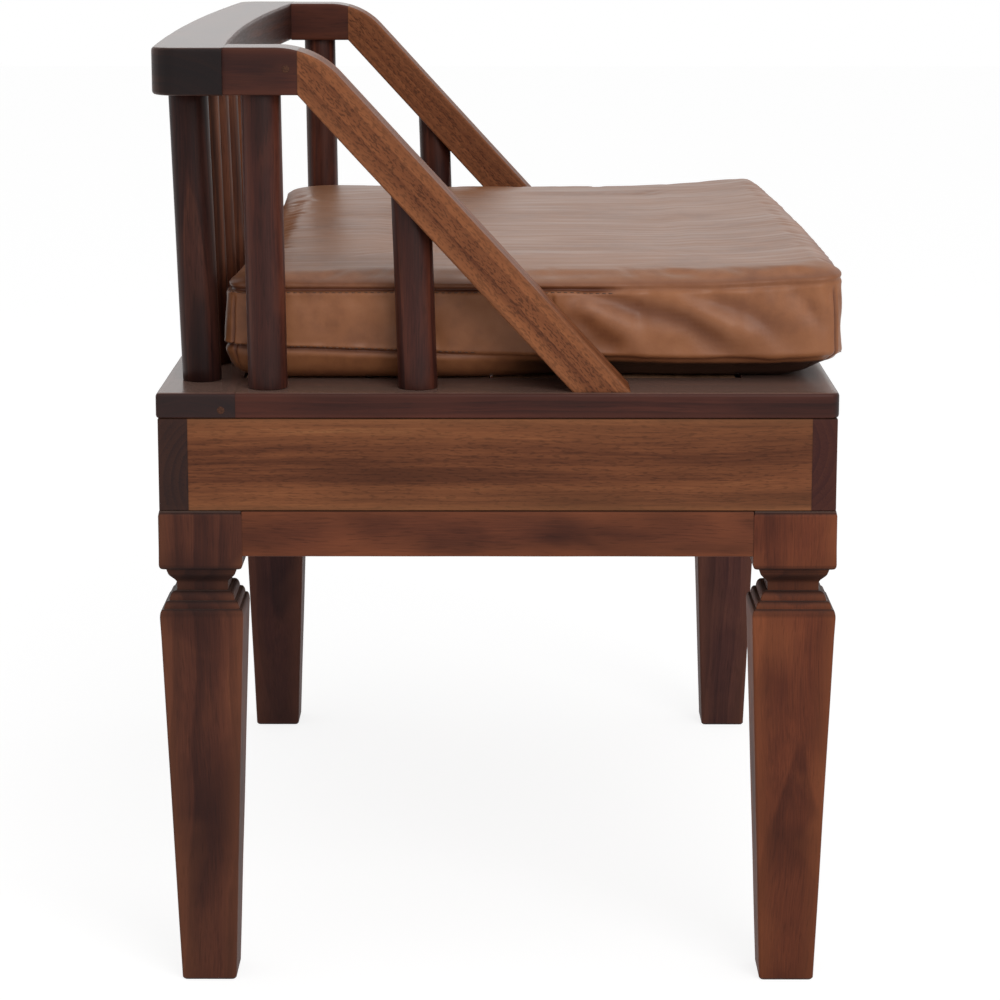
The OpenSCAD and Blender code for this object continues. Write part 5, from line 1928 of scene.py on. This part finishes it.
    def stitches(self, points: np.ndarray, s: np.ndarray, r: np.ndarray) -> None:
        """Sews a line of stitches on the band beside each seam.

        Args:
            points: The cushion's surface, mm.
            s: Lengths along the outline, mm.
            r: Lengths along the profile, mm.
        """
        normal = self.normals(points)
        verts, edges = [], []
        for seam, side, tight in zip(self.seams, (-1, 1), self.tightness(s)):
            row = int(np.abs(r - (seam + side * 2.4)).argmin())
            start = len(verts)
            verts += (points[row] + normal[row] * 0.08).tolist()
            shown = [i for i in range(len(s)) if min(tight[i], tight[(i + 1) % len(s)]) > 0.5]
            edges += [(start + i, start + (i + 1) % len(s)) for i in shown]
        path = bpy.data.meshes.new("stitch_path")
        path.from_pydata([[c * MM for c in v] for v in verts], edges, [])
        pattern = stitch_pattern(THREAD.dress("stitches"), *(size * MM for size in self.stitch))
        mount(pattern.grow("seam_stitches", show("stitch_path", path)), "cushion")


# ------------------------------------------------------------------ hidden pieces and studio


def dress_inner_pieces(nodes: dict[str, bpy.types.Object]) -> None:
    """Gives the pieces that keep their CAD form their finish and eased edges.

    Args:
        nodes: The CAD nodes.
    """
    log = LogPlace.of("corner_braces", (0.7, 0.7, 0.0), (0, 0, 1), (12, -40), 90)
    finishes = {"corner_braces": INNER_TIMBER.dress("braces", log)}
    finishes |= {name: ZINC_STEEL.dress(name) for name in ("leg_bolts", "arm_screws")}
    for name in ("case_dowels", "case_corner_dowels", "seat_frame_dowels", "crest_dowels", "arm_dowels"):
        finishes[name] = DOWEL_WOOD.dress(name)
    for name, material in finishes.items():
        node = nodes[name]
        node.material_slots[0].material = material
        node.modifiers.new("weld", "WELD").merge_threshold = 0.01 * MM
        bevel = node.modifiers.new("eased_edges", "BEVEL")
        bevel.width, bevel.segments, bevel.limit_method = 0.4 * MM, 2, "ANGLE"
        LOG.info("%s: keeps its CAD form", name)


@dataclass
class Studio:
    """A white room with soft light, and a camera at the photograph's place.

    Attributes:
        eye: Place of the camera, m.
        down: How far it looks down, degrees.
        turn: How far it turns to the back of the bench, degrees.
        lens: Focal length on a 36 mm wide sensor, mm.
        shift: Vertical shift, as a share of the frame.
        target: What the lamps shine at, m.
        sky: Light of the white surroundings, where the white that the camera sees is 1.
        floor: White of the pale floor as the camera sees it, and its share in what it sees.
    """

    eye: Place = (-2.2235, -0.0063, 0.7292)
    down: float = 10.52
    turn: float = 0.144
    lens: float = 108.3
    shift: float = -0.075
    target: Place = (0.0, 0.0, 0.35)
    sky: float = 0.55
    floor: Point = (1.19, 0.7)

    @staticmethod
    def aim(name: str, data: bpy.types.ID, place: Place, way: Vector) -> bpy.types.Object:
        """Puts a camera or a lamp in its place and turns it.

        Args:
            name: Its name.
            data: The camera or lamp.
            place: Its place, m.
            way: The way it looks or shines.

        Returns:
            Its object.
        """
        item = show(name, data)
        item.location, item.rotation_euler = place, way.to_track_quat("-Z", "Y").to_euler()
        return item

    def camera(self) -> None:
        """Sets up the camera."""
        data = bpy.data.cameras.new("camera")
        data.sensor_width, data.lens, data.shift_y, data.clip_end = 36.0, self.lens, self.shift, 50.0
        down, turn = math.radians(self.down), math.radians(self.turn)
        way = Vector((math.cos(down) * math.cos(turn), math.cos(down) * math.sin(turn), -math.sin(down)))
        bpy.context.scene.camera = self.aim("camera", data, self.eye, way)

    def lamp(self, name: str, place: Place, size: float, power: float) -> None:
        """Hangs a large soft lamp that shines on the bench.

        Args:
            name: Its name.
            place: Its place, m.
            size: Its width, m.
            power: Its power, W.
        """
        data = bpy.data.lights.new(name, "AREA")
        data.shape, data.size, data.energy = "DISK", size, power
        self.aim(name, data, place, Vector(self.target) - Vector(place))

    def room(self) -> None:
        """Makes the white surroundings and the pale floor, which keeps the bench's shadow."""
        world = bpy.data.worlds.new("white_room")
        bpy.context.scene.world = world
        world.use_nodes = True
        world.node_tree.nodes.clear()
        add = partial(add_node, world.node_tree)
        ray = add("LightPath").node.outputs
        seen = add("Math", {0: ray["Is Camera Ray"], 1: ray["Is Glossy Ray"]}, operation="MAXIMUM")
        seen = add("Math", {0: seen, 1: ray["Is Transmission Ray"]}, operation="MAXIMUM")
        level = add("MapRange", {"Value": seen, "To Min": self.sky, "To Max": 1.0})
        sky = add("Background", {"Color": linear("#ffffff"), "Strength": level})
        add("OutputWorld", {"Surface": sky})

        bm = bmesh.new()
        bmesh.ops.create_grid(bm, x_segments=8, y_segments=8, size=9000)
        material, add = blank_material("pale_floor")
        values = {"Base Color": linear("#f4f4f4"), "Roughness": 0.9, "Specular IOR Level": 0.1}
        ray = add("LightPath").node.outputs
        glow = add("Emission", {"Color": linear("#ffffff"), "Strength": self.floor[0]})
        seen = add("Math", {0: ray["Is Camera Ray"], 1: ray["Is Glossy Ray"]}, operation="MAXIMUM")
        share = add("Math", {0: seen, 1: self.floor[1]}, operation="MULTIPLY")
        mixed = add("MixShader", {0: share, 1: add("BsdfPrincipled", values), 2: glow})
        add("OutputMaterial", {"Surface": mixed})
        finish_mesh("floor", bm, material, weighted=False)

    def build(self) -> None:
        """Builds the room, lamps and camera."""
        self.camera()
        self.room()
        self.lamp("overhead", (-0.4, -0.2, 2.8), 2.6, 9.0)
        self.lamp("key", (-2.6, -1.1, 1.9), 2.0, 42.0)
        bpy.context.scene.view_settings.view_transform = "Standard"


def main() -> None:
    """Builds the bench round its CAD frame, and the studio round the bench."""
    logging.basicConfig(level=logging.INFO, format="%(name)s: %(message)s")
    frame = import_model()
    Studio().build()
    for part in (LegFrame(), Case(), Seat(), Back(), BoxCushion()):
        LOG.info("building %s", type(part).__name__)
        part.build()
    dress_inner_pieces(frame["nodes"])


if __name__ == "__main__":
    main()
